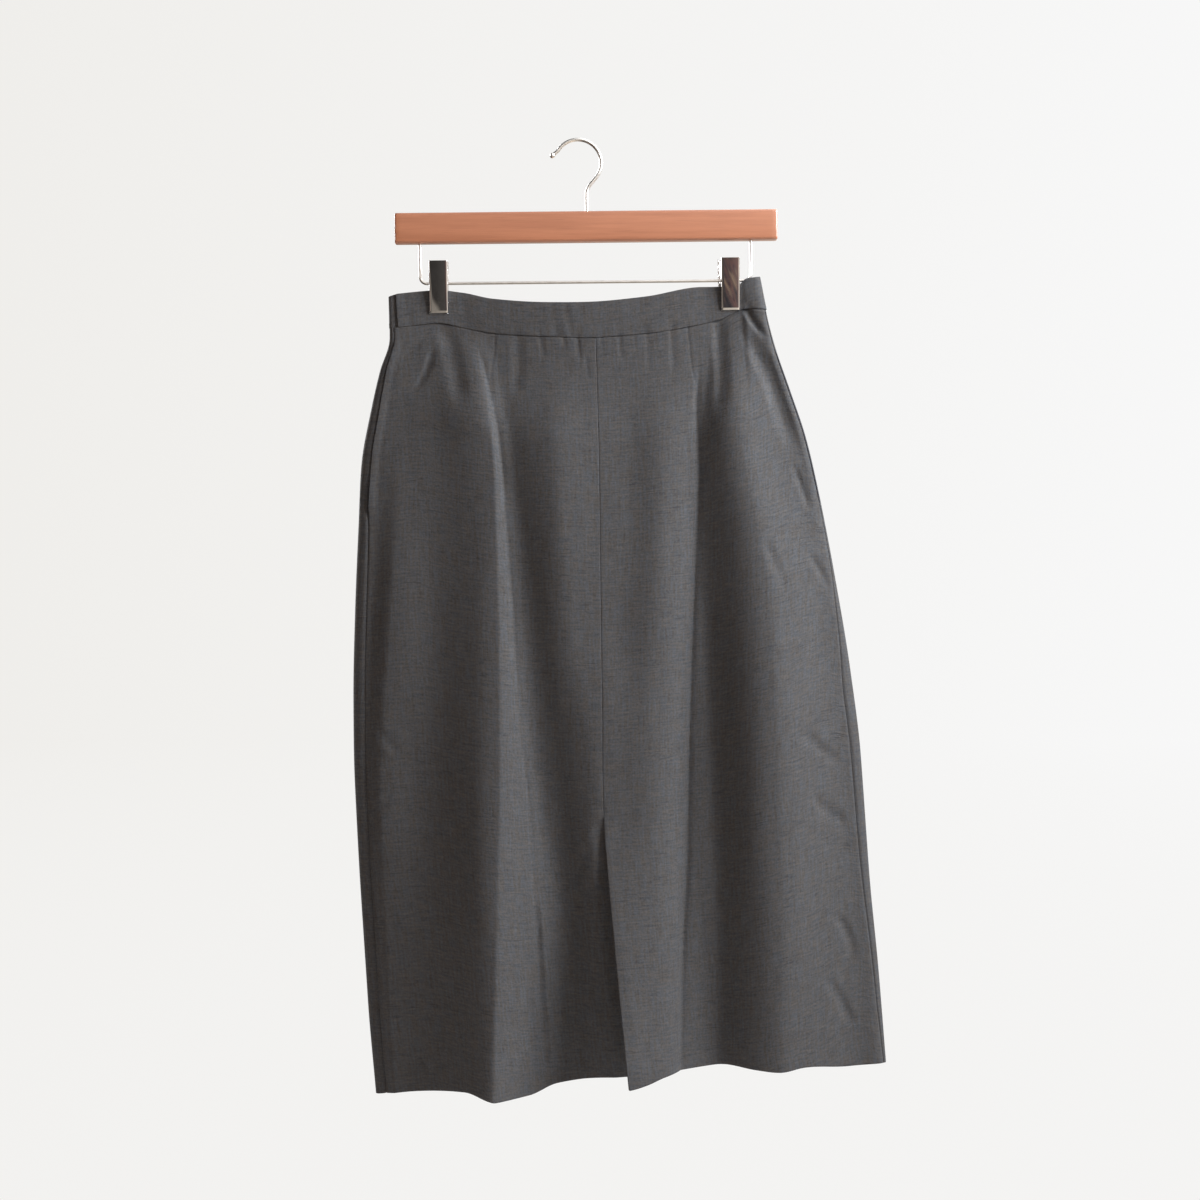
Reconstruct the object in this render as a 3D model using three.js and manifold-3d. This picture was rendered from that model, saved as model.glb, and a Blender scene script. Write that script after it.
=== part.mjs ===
// A-line skirt with a front vent, clipped by its waistband to a wooden clip hanger.
// Millimetres, +Z up, front facing -Y. The origin is the point inside the hook that bears on a rail.
import * as THREE from 'three';
import { mergeVertices } from 'three/addons/utils/BufferGeometryUtils.js';
import Module from 'manifold-3d';

const wasm = await Module();
wasm.setup();

const GAP = 0.3;                 // between pieces that touch
const SEAM_TURN_GAP = 1.6;       // degrees round a side fold, each side of the side seam

// ---- hanger sizes
const HANGER_TILT = 0.6;         // degrees, right end higher
const BAR = { length: 355.6, depth: 13, height: 28.4, top: -65.6, centre: 7.0, corner: 2.6,
  bevel: 1.2 };
const HOOK = { wire: 1.7, bend: 21.7, stem: 7.8, tipAngle: 148, turnAngle: -40, counterBend: 14,
  ball: 2.5, seat: 15, tipOut: 5.2, tipDrop: 4.4 };
const FRAME = { wire: 1.4, left: -147.8, right: 160.1, level: -131, bend: 6.5, seat: 12 };
const CLIP = { width: 17.3, height: 48.5, top: -110.5, plate: 1, flange: 4.6, lean: 6.6, corner: 1.8 };
const CLIP_AT = { left: -130.5, right: 140.7 };
const SPRING = { inner: 1.7, outer: 3.7, length: 11 };

// ---- skirt sizes, in the skirt's own frame: across to the right, down from the waist
const SKIRT_TILT = 3.8;          // degrees, right side higher, because it is clipped askew
const SKIRT_AT = { x: -1.2, z: -137 };
const CLOTH = 1.2;               // panel wall
const BAND = { wall: 2, deep: 32, proud: 0.6, leftEnd: -168, step: 14, stops: [-139, -118, 131, 151, 157] };
const SIDE_ROUND = 1.6;          // width of the rounded side fold over its depth
const SETTLE = 105;              // how far below the waist the clipped shape opens into the full one
const SWING = { by: 4, from: 40, over: 220 };    // the skirt's middle swings back under the hanger
const RIGHT_LONGER = 3;          // the right side seam over the left one
const VENT = { top: 510, length: 221, lap: 42, behind: 3.4, flare: 37, reach: 84,
  starts: 12, opens: 26, over: 24, near: 14, growth: 1.25, spread: 1.2 };
const FACING = { columns: 3, inset: 0.04, short: 0.1, wall: 1 };    // in the panel's columns and rows
const POCKET = { columns: 8, rows: 10, footRow: 10.5, rounding: 3, wall: 1.6, behind: 2.0,
  topRow: { left: 2.2, right: 2.3 } };

// Half widths of the flattened skirt, and how deep its side folds are.
const OUTLINE = [
  { down: 0, left: 175.0, right: 171.5, sideDepth: 4.4 },
  { down: 35, left: 176.5, right: 176.0, sideDepth: 4.4 },
  { down: 65, left: 187.5, right: 182.0, sideDepth: 4.6 },
  { down: 100, left: 198.0, right: 191.5, sideDepth: 5.2 },
  { down: 150, left: 210.5, right: 204.5, sideDepth: 6.0 },
  { down: 205, left: 217.0, right: 213.5, sideDepth: 6.5 },
  { down: 280, left: 225.2, right: 222.8, sideDepth: 6.5 },
  { down: 370, left: 233.0, right: 231.6, sideDepth: 6.5 },
  { down: 450, left: 236.8, right: 236.0, sideDepth: 6.5 },
  { down: 560, left: 238.0, right: 236.6, sideDepth: 6.5 },
  { down: 650, left: 238.0, right: 239.2, sideDepth: 6.5 },
  { down: 735, left: 236.2, right: 240.4, sideDepth: 6.5 },
];

// The waistband's top edge and the seam under it: both sag between the two clips.
const WAIST = [
  { across: -176, top: -3.5, seam: 25.5 },
  { across: -165, top: -6.0, seam: 25.3 },
  { across: -132, top: -7.0, seam: 23.8 },
  { across: -106, top: -3.0, seam: 30.3 },
  { across: -78, top: 4.7, seam: 37.3 },
  { across: -26, top: 11.6, seam: 43.8 },
  { across: 20, top: 13.9, seam: 47.5 },
  { across: 64, top: 12.2, seam: 46.6 },
  { across: 113, top: 6.4, seam: 41.3 },
  { across: 131, top: 7.2, seam: 38.0 },
  { across: 150, top: 6.8, seam: 30.6 },
  { across: 158, top: 1.8, seam: 29.6 },
  { across: 176, top: 0.0, seam: 31.3 },
];

// How far the band's outer faces stand from the middle: shut at the two clips, open between.
const WAIST_DEPTH = [
  { across: -172, front: 4.0, back: 4.0 },
  { across: -152, front: 2.8, back: 2.8 },
  { across: -139, front: 2.3, back: 2.3 },
  { across: -118, front: 2.3, back: 2.3 },
  { across: -60, front: 5.4, back: 4.2 },
  { across: 0, front: 7.0, back: 5.0 },
  { across: 70, front: 5.6, back: 4.4 },
  { across: 131, front: 2.3, back: 2.3 },
  { across: 151, front: 2.3, back: 2.3 },
  { across: 157, front: 4.3, back: 4.3 },
  { across: 173, front: 4.6, back: 4.6 },
];

// Where the hem hangs, front and back.
const HEM = [
  { across: -236, front: 735, back: 735 },
  { across: -200, front: 732, back: 729 },
  { across: -150, front: 729.5, back: 728 },
  { across: -120, front: 738.5, back: 728 },
  { across: -92, front: 739, back: 728 },
  { across: -66, front: 733, back: 728 },
  { across: -14, front: 730.5, back: 728 },
  { across: 0, front: 734.5, back: 728 },
  { across: 16, front: 732.5, back: 728 },
  { across: 34, front: 728, back: 727.5 },
  { across: 50, front: 726.5, back: 727 },
  { across: 88, front: 726.5, back: 726 },
  { across: 118, front: 730.5, back: 727 },
  { across: 142, front: 733.5, back: 728 },
  { across: 160, front: 732, back: 728 },
  { across: 205, front: 737, back: 731 },
  { across: 240, front: 737.5, back: 738 },
];

// The centre-front seam, which runs on as the edge of the vent.
const CENTRE_SEAM = [
  { down: 40, across: 15.2 },
  { down: 150, across: 11.0 },
  { down: 290, across: 3.7 },
  { down: 380, across: -1.0 },
  { down: 510, across: -7.2 },
  { down: 610, across: -5.0 },
  { down: 740, across: -0.4 },
];

// How full the whole front stands, besides its folds.
const FULLNESS = [
  { down: 60, out: 2 },
  { down: 150, out: 6 },
  { down: 290, out: 8 },
  { down: 440, out: 9 },
  { down: 590, out: 13 },
  { down: 735, out: 8 },
];

// The front's large folds: where a crest runs, how far out it stands and how far it spreads to the
// left and right. Its crown and foot are rounder as the numbers grow; 1 and 1 make a straight side.
const RIDGES = [
  {
    crown: { left: 1.7, right: 1.3 },
    foot: { left: 3.2, right: 2.5 },
    rows: [
      { down: 60, across: -93, out: 5, left: 80, right: 22 },
      { down: 150, across: -87, out: 9, left: 88, right: 22 },
      { down: 290, across: -91, out: 17, left: 104, right: 39 },
      { down: 440, across: -99, out: 28, left: 120, right: 60 },
      { down: 590, across: -111, out: 39, left: 122, right: 77 },
      { down: 735, across: -124, out: 49, left: 110, right: 86 },
    ],
  },
  {
    crown: { left: 1.9, right: 4.9 },
    foot: { left: 1.75, right: 0.95 },
    rows: [
      { down: 60, across: -20, out: 1, left: 51, right: 127 },
      { down: 150, across: -26, out: 10, left: 56, right: 128 },
      { down: 290, across: -23, out: 18, left: 59, right: 113 },
      { down: 440, across: -9, out: 18, left: 62, right: 84 },
      { down: 590, across: 4, out: 19, left: 58, right: 56 },
      { down: 735, across: 14, out: 14, left: 59, right: 34 },
    ],
  },
  {
    crown: { left: 2.5, right: 1.6 },
    foot: { left: 2, right: 2.4 },
    rows: [
      { down: 60, across: 136, out: 10, left: 16, right: 48 },
      { down: 150, across: 141, out: 13, left: 38, right: 59 },
      { down: 290, across: 157, out: 22, left: 62, right: 73 },
      { down: 440, across: 155, out: 27, left: 62, right: 81 },
      { down: 590, across: 148, out: 26, left: 60, right: 84 },
      { down: 735, across: 139, out: 24, left: 57, right: 84 },
    ],
  },
];

// How far round its side fold each side seam lies: 90 is the very edge, 180 wholly on the front.
const SEAM_TURN = [
  { down: 25, left: 154, right: 98 },
  { down: 58, left: 168, right: 98 },
  { down: 215, left: 172, right: 98 },
  { down: 300, left: 172, right: 121 },
  { down: 350, left: 172, right: 150 },
  { down: 460, left: 172, right: 170 },
  { down: 600, left: 172, right: 157 },
  { down: 735, left: 172, right: 132 },
];

// The back hangs almost flat: slow, low waves.
const BACK_FOLDS = [
  { across: -120, out: 4.5, spread: 70 },
  { across: 5, out: 3.0, spread: 60 },
  { across: 115, out: 5.0, spread: 75 },
];
const BACK_GROWTH = { from: 60, over: 420 };

// ---- tables and small helpers

// A smooth value from a table's rows, without overshoot between them.
function fromTable(rows, key, column, at) {
  const last = rows.length - 1;
  if (at <= rows[0][key]) return rows[0][column];
  if (at >= rows[last][key]) return rows[last][column];
  const i = rows.findIndex((row) => row[key] > at) - 1;
  const slope = (a) => (rows[a + 1][column] - rows[a][column]) / (rows[a + 1][key] - rows[a][key]);
  const tangent = (a) => {
    if (a === 0) return slope(0);
    if (a === last) return slope(last - 1);
    const before = slope(a - 1);
    const after = slope(a);
    return before * after <= 0 ? 0 : (2 * before * after) / (before + after);
  };
  const span = rows[i + 1][key] - rows[i][key];
  const t = (at - rows[i][key]) / span;
  return rows[i][column] * (1 + 2 * t) * (1 - t) ** 2 + rows[i + 1][column] * t * t * (3 - 2 * t)
    + span * (tangent(i) * t * (1 - t) ** 2 - tangent(i + 1) * t * t * (1 - t));
}

const clamp = THREE.MathUtils.clamp;
const lerp = THREE.MathUtils.lerp;
const radians = THREE.MathUtils.degToRad;
const ease = (t) => THREE.MathUtils.smoothstep(t, 0, 1);

// A crest one high that falls smoothly to nothing at its spread on each side.
function crest(offset, spread) {
  const t = Math.abs(offset) / spread;
  return t >= 1 ? 0 : Math.cos(t * Math.PI / 2) ** 2;
}

// ---- the skirt's shape

const seamUnderBand = (across) => fromTable(WAIST, 'across', 'seam', across);
const bandTop = (across) => fromTable(WAIST, 'across', 'top', across);
const bandDepth = (side, across) => fromTable(WAIST_DEPTH, 'across', side, across);
const centreSeam = (down) => fromTable(CENTRE_SEAM, 'down', 'across', down);
const halfWidth = (hand, down) => fromTable(OUTLINE, 'down', hand, down);
const sideDepth = (down) => fromTable(OUTLINE, 'down', 'sideDepth', down);
const seamTurn = (hand, down) => fromTable(SEAM_TURN, 'down', hand, down);
const foldAt = (rows, column, down) => fromTable(rows, 'down', column, down);

// One ridge's height at a place: its crest falling to nothing at its spread on either side.
function ridgeAt(ridge, across, down) {
  const offset = across - foldAt(ridge.rows, 'across', down);
  const side = offset < 0 ? 'left' : 'right';
  const t = Math.min(1, Math.abs(offset) / foldAt(ridge.rows, side, down));
  return foldAt(ridge.rows, 'out', down) * (1 - t ** ridge.crown[side]) ** ridge.foot[side];
}

// How far the front stands out of its resting plane in folds.
function frontFolds(across, down) {
  const half = halfWidth(across < 0 ? 'left' : 'right', down);
  let out = foldAt(FULLNESS, 'out', down) * (1 - Math.min(1, (across / half) ** 2));
  for (const ridge of RIDGES) out += ridgeAt(ridge, across, down);
  return out;
}

// The right panel's vent edge swings forward towards the hem.
function ventFlare(across, down) {
  const low = clamp((down - VENT.top + VENT.starts) / VENT.length, 0, 1);
  const near = clamp(1 - (across - centreSeam(down)) / VENT.reach, 0, 1);
  return VENT.flare * low ** VENT.growth * near ** VENT.spread;
}

function backFolds(across, down) {
  const grown = ease((down - BACK_GROWTH.from) / BACK_GROWTH.over);
  let out = 0;
  for (const fold of BACK_FOLDS) out += fold.out * crest(across - fold.across, fold.spread);
  return out * grown;
}

// How far back the outside of the front or back lies. `turn` carries it round a side fold.
function skirtDepth(face, across, down, turn) {
  const open = ease((down - seamUnderBand(across)) / SETTLE);
  const middle = SWING.by * ease((down - SWING.from) / SWING.over);
  const depth = lerp(bandDepth(face, across) - BAND.proud, sideDepth(down), open);
  const round = turn === undefined ? 1 : Math.abs(Math.cos(radians(turn)));
  if (face === 'back') return middle + depth * round + backFolds(across, down) * open * round;
  return middle - depth * round - frontFolds(across, down) * open;
}

// Columns across a face: a few round the side fold by angle, then even steps over the flat.
function sideStation(hand, turn, down) {
  const fold = SIDE_ROUND * sideDepth(down);
  const across = halfWidth(hand, down) - fold * (1 - Math.sin(radians(turn)));
  return hand === 'left' ? -across : across;
}

// How far down a panel's row lies: rows start under the band and end at the hem.
const hem = (face, across) => fromTable(HEM, 'across', face, across);
const panelDown = (face, across, t) => lerp(seamUnderBand(across) + GAP, hem(face, across), t);
const sideLength = { left: HEM[0].front, right: HEM[0].front + RIGHT_LONGER };
const sideLevel = (hand, t) => lerp(WAIST[0].seam, sideLength[hand], t);

// ---- closed walls from grids of points

// Square to the grid at a point, towards +Y where columns run left to right and rows run down.
function outward(at, i, j) {
  const step = 0.02;
  const along = at(i + step, j).sub(at(i - step, j));
  const down = at(i, j + step).sub(at(i, j - step));
  return along.cross(down).normalize();
}

// `at(i, j)` is a point on the outer face, for whole and part columns and rows.
// `keep(i, j)` says which cells are cloth, and `face` is 'front' or 'back'.
function clothWall(name, material, columns, rows, at, thickness, face, keep = () => true) {
  const facing = face === 'front' ? -1 : 1;
  const positions = [];
  const number = new Map();
  const corner = (i, j, layer) => {
    const label = `${i},${j},${layer}`;
    if (number.has(label)) return number.get(label);
    const here = at(i, j);
    if (layer > 0) here.addScaledVector(outward(at, i, j), -facing * thickness);
    positions.push(here.x, here.y, here.z);
    number.set(label, number.size);
    return number.get(label);
  };
  const index = [];
  const quad = (a, b, c, d) => index.push(a, b, c, a, c, d);
  const cell = (i, j) => i >= 0 && j >= 0 && i < columns && j < rows && keep(i, j);
  for (let j = 0; j < rows; j += 1) {
    for (let i = 0; i < columns; i += 1) {
      if (!cell(i, j)) continue;
      const ring = [[i, j], [i + 1, j], [i + 1, j + 1], [i, j + 1]];
      const beyond = [[i, j - 1], [i + 1, j], [i, j + 1], [i - 1, j]];
      const outer = ring.map(([a, b]) => corner(a, b, 0));
      const inner = ring.map(([a, b]) => corner(a, b, 1));
      if (facing > 0) {
        quad(outer[0], outer[1], outer[2], outer[3]);
        quad(inner[2], inner[1], inner[0], inner[3]);
      } else {
        quad(outer[3], outer[2], outer[1], outer[0]);
        quad(inner[1], inner[2], inner[3], inner[0]);
      }
      for (let k = 0; k < 4; k += 1) {
        if (cell(...beyond[k])) continue;
        const next = (k + 1) % 4;
        if (facing > 0) quad(outer[next], outer[k], inner[k], inner[next]);
        else quad(outer[k], outer[next], inner[next], inner[k]);
      }
    }
  }
  const geometry = new THREE.BufferGeometry();
  geometry.setAttribute('position', new THREE.Float32BufferAttribute(positions, 3));
  geometry.setIndex(index);
  return named(name, geometry, material);
}

function named(name, geometry, material) {
  geometry.computeVertexNormals();
  const mesh = new THREE.Mesh(geometry, material.clone());
  mesh.name = name;
  return mesh;
}

// ---- joins and cuts

function toSolid(geometry) {
  const bare = geometry.clone();
  for (const attribute of ['normal', 'uv']) bare.deleteAttribute(attribute);
  const merged = mergeVertices(bare, 1e-4);
  return new wasm.Manifold(new wasm.Mesh({
    numProp: 3,
    vertProperties: new Float32Array(merged.attributes.position.array),
    triVerts: new Uint32Array(merged.index.array),
  }));
}

function toGeometry(solid) {
  const mesh = solid.getMesh();
  const geometry = new THREE.BufferGeometry();
  geometry.setAttribute('position', new THREE.BufferAttribute(new Float32Array(mesh.vertProperties), 3));
  geometry.setIndex(new THREE.BufferAttribute(new Uint32Array(mesh.triVerts), 1));
  return geometry;
}

// ---- materials

const fabric = new THREE.MeshStandardMaterial({ color: 0x4b4a49, roughness: 0.75, metalness: 0 });
const pocketing = new THREE.MeshStandardMaterial({ color: 0x2f2c2c, roughness: 0.85, metalness: 0 });
const wood = new THREE.MeshStandardMaterial({ color: 0xb9744d, roughness: 0.4, metalness: 0 });
const chrome = new THREE.MeshStandardMaterial({ color: 0xd9dadb, roughness: 0.12, metalness: 1 });

// ---- skirt pieces

const TIP_COLUMNS = 3;
const PANEL_COLUMNS = 15;
const LAP_COLUMNS = 3;
const PANEL_ROWS = 28;
const VENT_ROW = 19;
const BACK_TIP_COLUMNS = 5;
const BACK_COLUMNS = 18;

// A point on the outside of the left half: column `i` runs from the left side seam to the centre,
// and on behind the vent as its underlap.
function frontLeftPoint(i, j) {
  const t = j / PANEL_ROWS;
  const level = sideLevel('left', t);
  if (i < TIP_COLUMNS) {
    const turn = lerp(seamTurn('left', level) + SEAM_TURN_GAP, 180, i / TIP_COLUMNS);
    const across = sideStation('left', turn, level);
    const down = panelDown('front', across, t);
    return new THREE.Vector3(across, skirtDepth('front', across, down, turn), -down);
  }
  const last = TIP_COLUMNS + PANEL_COLUMNS;
  const edge = sideStation('left', 180, level);
  const centre = centreSeam(panelDown('front', 0, t)) - GAP / 2;
  const across = i <= last
    ? lerp(edge, centre, (i - TIP_COLUMNS) / PANEL_COLUMNS)
    : centre + VENT.lap * (i - last) / LAP_COLUMNS;
  const down = panelDown('front', across, t);
  const opening = ease((down - VENT.top + VENT.opens) / VENT.over);
  const behind = VENT.behind * opening * ease((across - centre + VENT.near) / VENT.near);
  return new THREE.Vector3(across, skirtDepth('front', across, down) + behind, -down);
}

function frontLeft() {
  const last = TIP_COLUMNS + PANEL_COLUMNS;
  const columns = last + LAP_COLUMNS;
  const keep = (i, j) => i < last || j >= VENT_ROW;
  return clothWall('front_left', fabric, columns, PANEL_ROWS, frontLeftPoint, CLOTH, 'front', keep);
}

// A point on the outside of the right half: column `i` runs from the centre to the right side seam.
function frontRightPoint(i, j) {
  const t = j / PANEL_ROWS;
  const level = sideLevel('right', t);
  if (i > PANEL_COLUMNS) {
    const seam = seamTurn('right', level) + SEAM_TURN_GAP;
    const turn = lerp(180, seam, (i - PANEL_COLUMNS) / TIP_COLUMNS);
    const across = sideStation('right', turn, level);
    const down = panelDown('front', across, t);
    return new THREE.Vector3(across, skirtDepth('front', across, down, turn), -down);
  }
  const edge = sideStation('right', 180, level);
  const centre = centreSeam(panelDown('front', 0, t)) + GAP / 2;
  const across = lerp(centre, edge, i / PANEL_COLUMNS);
  const down = panelDown('front', across, t);
  const y = skirtDepth('front', across, down) - ventFlare(across, down);
  return new THREE.Vector3(across, y, -down);
}

function frontRight() {
  const columns = PANEL_COLUMNS + TIP_COLUMNS;
  return clothWall('front_right', fabric, columns, PANEL_ROWS, frontRightPoint, CLOTH, 'front');
}

// The vent's facing: turned back behind the right panel's vent edge, from that panel's points.
function ventFacing() {
  const { columns, inset, short } = FACING;
  const rows = PANEL_ROWS - VENT_ROW - 1;
  const at = (i, j) => {
    const column = inset + i;
    const row = VENT_ROW + 1 + j * (rows - short) / rows;
    const inward = outward(frontRightPoint, column, row);
    return frontRightPoint(column, row).addScaledVector(inward, CLOTH + GAP);
  };
  return clothWall('vent_facing', fabric, columns, rows, at, FACING.wall, 'front');
}

// The back wraps round both sides to the side seams and is one piece between them.
function backPanel() {
  const columns = BACK_COLUMNS + 2 * BACK_TIP_COLUMNS;
  const at = (i, j) => {
    const t = j / PANEL_ROWS;
    const hand = i < columns / 2 ? 'left' : 'right';
    const level = sideLevel(hand, t);
    const fromEdge = Math.min(i, columns - i);
    if (fromEdge <= BACK_TIP_COLUMNS) {
      const turn = lerp(seamTurn(hand, level) - SEAM_TURN_GAP, 0, fromEdge / BACK_TIP_COLUMNS);
      const across = sideStation(hand, turn, level);
      const face = turn > 90 ? 'front' : 'back';
      const down = panelDown('back', across, t);
      return new THREE.Vector3(across, skirtDepth(face, across, down, turn), -down);
    }
    const low = sideStation('left', 0, sideLevel('left', t));
    const high = sideStation('right', 0, sideLevel('right', t));
    const across = lerp(low, high, (i - BACK_TIP_COLUMNS) / BACK_COLUMNS);
    const down = panelDown('back', across, t);
    return new THREE.Vector3(across, skirtDepth('back', across, down), -down);
  };
  return clothWall('back', fabric, columns, PANEL_ROWS, at, CLOTH, 'back');
}

// The waistband: the front strip ends at the left opening, and the back strip wraps both sides.
function bandPoint(face, across, turn, t) {
  const down = lerp(bandTop(across), seamUnderBand(across) - GAP / 2, t);
  const round = turn === undefined ? 1 : Math.abs(Math.cos(radians(turn)));
  const y = bandDepth(face, across) * round;
  return new THREE.Vector3(across, face === 'back' ? y : -y, -down);
}

// Columns run in even steps between the band's stops, so that the gripped stretches stay flat.
function bandColumns(from, to) {
  const stops = [from, ...BAND.stops, to];
  const columns = [from];
  for (let k = 1; k < stops.length; k += 1) {
    const steps = Math.ceil((stops[k] - stops[k - 1]) / BAND.step);
    for (let n = 1; n <= steps; n += 1) columns.push(lerp(stops[k - 1], stops[k], n / steps));
  }
  return columns;
}

const BAND_ROWS = 2;
const BAND_TURN = { left: 130, right: 98 };    // how far round each side the back strip reaches

// A value part of the way between two entries of a list.
function between(list, i) {
  const k = clamp(Math.floor(i), 0, list.length - 2);
  return lerp(list[k], list[k + 1], i - k);
}

const bandSide = (hand, turn, t) => sideStation(hand, turn, BAND.deep * t);

function waistbandFront() {
  const flat = (t) => bandColumns(BAND.leftEnd, bandSide('right', 180, t));
  const last = flat(0).length - 1;
  const at = (i, j) => {
    const t = j / BAND_ROWS;
    if (i <= last) return bandPoint('front', between(flat(t), i), undefined, t);
    const turn = lerp(180, BAND_TURN.right + SEAM_TURN_GAP, (i - last) / TIP_COLUMNS);
    return bandPoint('front', bandSide('right', turn, t), turn, t);
  };
  const columns = last + TIP_COLUMNS;
  return clothWall('waistband_front', fabric, columns, BAND_ROWS, at, BAND.wall, 'front');
}

function waistbandBack() {
  const flat = (t) => bandColumns(bandSide('left', 0, t), bandSide('right', 0, t));
  const columns = flat(0).length - 1 + 2 * BACK_TIP_COLUMNS;
  const at = (i, j) => {
    const t = j / BAND_ROWS;
    const hand = i < columns / 2 ? 'left' : 'right';
    const fromEdge = Math.min(i, columns - i);
    if (fromEdge > BACK_TIP_COLUMNS) {
      return bandPoint('back', between(flat(t), i - BACK_TIP_COLUMNS), undefined, t);
    }
    const turn = lerp(BAND_TURN[hand] - SEAM_TURN_GAP, 0, fromEdge / BACK_TIP_COLUMNS);
    return bandPoint(turn > 90 ? 'front' : 'back', bandSide(hand, turn, t), turn, t);
  };
  return clothWall('waistband_back', fabric, columns, BAND_ROWS, at, BAND.wall, 'back');
}

// A flat pocket bag inside each side seam, from its front panel's points moved in.
function pocket(hand) {
  const { columns, rows, topRow, footRow, rounding, wall, behind } = POCKET;
  const panel = hand === 'left' ? frontLeftPoint : frontRightPoint;
  const at = (i, j) => {
    const inset = hand === 'left' ? i : columns - i;
    const column = hand === 'left' ? TIP_COLUMNS + inset : PANEL_COLUMNS - inset;
    const foot = footRow - rounding * (inset / columns) ** 3;
    const row = lerp(topRow[hand], foot, j / rows);
    return panel(column, row).addScaledVector(outward(panel, column, row), CLOTH + behind);
  };
  return clothWall(`pocket_${hand}`, pocketing, columns, rows, at, wall, 'front');
}

// ---- hanger pieces

// An arc in the hanger's upright plane, between two angles in degrees.
class Arc extends THREE.Curve {
  constructor(x, z, radius, from, to) {
    super();
    Object.assign(this, { x, z, radius, from, to });
  }

  getPoint(t, target = new THREE.Vector3()) {
    const angle = radians(lerp(this.from, this.to, t));
    return target.set(this.x + this.radius * Math.cos(angle), 0, this.z + this.radius * Math.sin(angle));
  }
}

const inPlane = (x, z) => new THREE.Vector3(x, 0, z);

function wireAlong(path, radius, steps, sides) {
  const section = new THREE.Shape();
  section.absarc(0, 0, radius, 0, Math.PI * 2, false);
  return new THREE.ExtrudeGeometry(section, { extrudePath: path, steps, curveSegments: sides / 2 });
}

function hook() {
  const centre = -(HOOK.bend - HOOK.wire);
  const turn = radians(HOOK.turnAngle);
  const leave = inPlane(HOOK.bend * Math.cos(turn), centre + HOOK.bend * Math.sin(turn));
  const lean = -turn;                                    // the straight's angle off the vertical
  const bendX = HOOK.stem + HOOK.counterBend;
  const meetX = bendX - HOOK.counterBend * Math.cos(lean);
  const meetZ = leave.z - (leave.x - meetX) / Math.tan(lean);
  const bendZ = meetZ - HOOK.counterBend * Math.sin(lean);
  const start = radians(HOOK.tipAngle);
  const neck = inPlane(HOOK.bend * Math.cos(start), centre + HOOK.bend * Math.sin(start));
  const tip = inPlane(neck.x - HOOK.tipOut, neck.z - HOOK.tipDrop);
  const path = new THREE.CurvePath();
  path.add(new THREE.LineCurve3(tip, neck));
  path.add(new Arc(0, centre, HOOK.bend, HOOK.tipAngle, HOOK.turnAngle));
  path.add(new THREE.LineCurve3(leave, inPlane(meetX, meetZ)));
  path.add(new Arc(bendX, bendZ, HOOK.counterBend, 180 + HOOK.turnAngle, 180));
  path.add(new THREE.LineCurve3(inPlane(HOOK.stem, bendZ), inPlane(HOOK.stem, BAR.top - HOOK.seat + GAP)));
  const ball = new THREE.SphereGeometry(HOOK.ball, 16, 10);
  ball.translate(tip.x, 0, tip.z);
  const wire = toSolid(wireAlong(path, HOOK.wire, 64, 10));
  return named('hook', toGeometry(wire.add(toSolid(ball))), chrome);
}

// The bar is drilled for the hook's stem and for the frame wire's two ends.
function bar() {
  const { length, depth, height, corner, centre, top, bevel } = BAR;
  const y = depth / 2 - corner;
  const z = height / 2 - corner;
  const section = new THREE.Shape();
  section.absarc(y, z, corner, 0, Math.PI / 2, false);
  section.absarc(-y, z, corner, Math.PI / 2, Math.PI, false);
  section.absarc(-y, -z, corner, Math.PI, Math.PI * 1.5, false);
  section.absarc(y, -z, corner, Math.PI * 1.5, Math.PI * 2, false);
  const body = new THREE.ExtrudeGeometry(section, {
    depth: length - 2 * bevel, bevelEnabled: true, bevelThickness: bevel, bevelSize: bevel,
    bevelOffset: -bevel, bevelSegments: 2, curveSegments: 4,
  });
  body.rotateZ(Math.PI / 2);
  body.rotateY(Math.PI / 2);
  body.translate(centre - length / 2 + bevel, 0, top - height / 2);
  const drill = (x, radius, from, to) => {
    const hole = new THREE.CylinderGeometry(radius, radius, to - from, 16);
    hole.rotateX(Math.PI / 2);
    hole.translate(x, 0, (from + to) / 2);
    return toSolid(hole);
  };
  const bottom = top - height;
  const solid = toSolid(body)
    .subtract(drill(HOOK.stem, HOOK.wire + GAP, top - HOOK.seat, top + 1))
    .subtract(drill(FRAME.left, FRAME.wire + GAP, bottom - 1, bottom + FRAME.seat))
    .subtract(drill(FRAME.right, FRAME.wire + GAP, bottom - 1, bottom + FRAME.seat));
  return named('hanger_bar', toGeometry(solid), wood);
}

function frameWire() {
  const { left, right, level, bend, seat } = FRAME;
  const end = BAR.top - BAR.height + seat - GAP;
  const path = new THREE.CurvePath();
  path.add(new THREE.LineCurve3(inPlane(left, end), inPlane(left, level + bend)));
  path.add(new Arc(left + bend, level + bend, bend, 180, 270));
  path.add(new THREE.LineCurve3(inPlane(left + bend, level), inPlane(right - bend, level)));
  path.add(new Arc(right - bend, level + bend, bend, 270, 360));
  path.add(new THREE.LineCurve3(inPlane(right, level + bend), inPlane(right, end)));
  return named('frame_wire', wireAlong(path, FRAME.wire, 96, 8), chrome);
}

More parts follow.
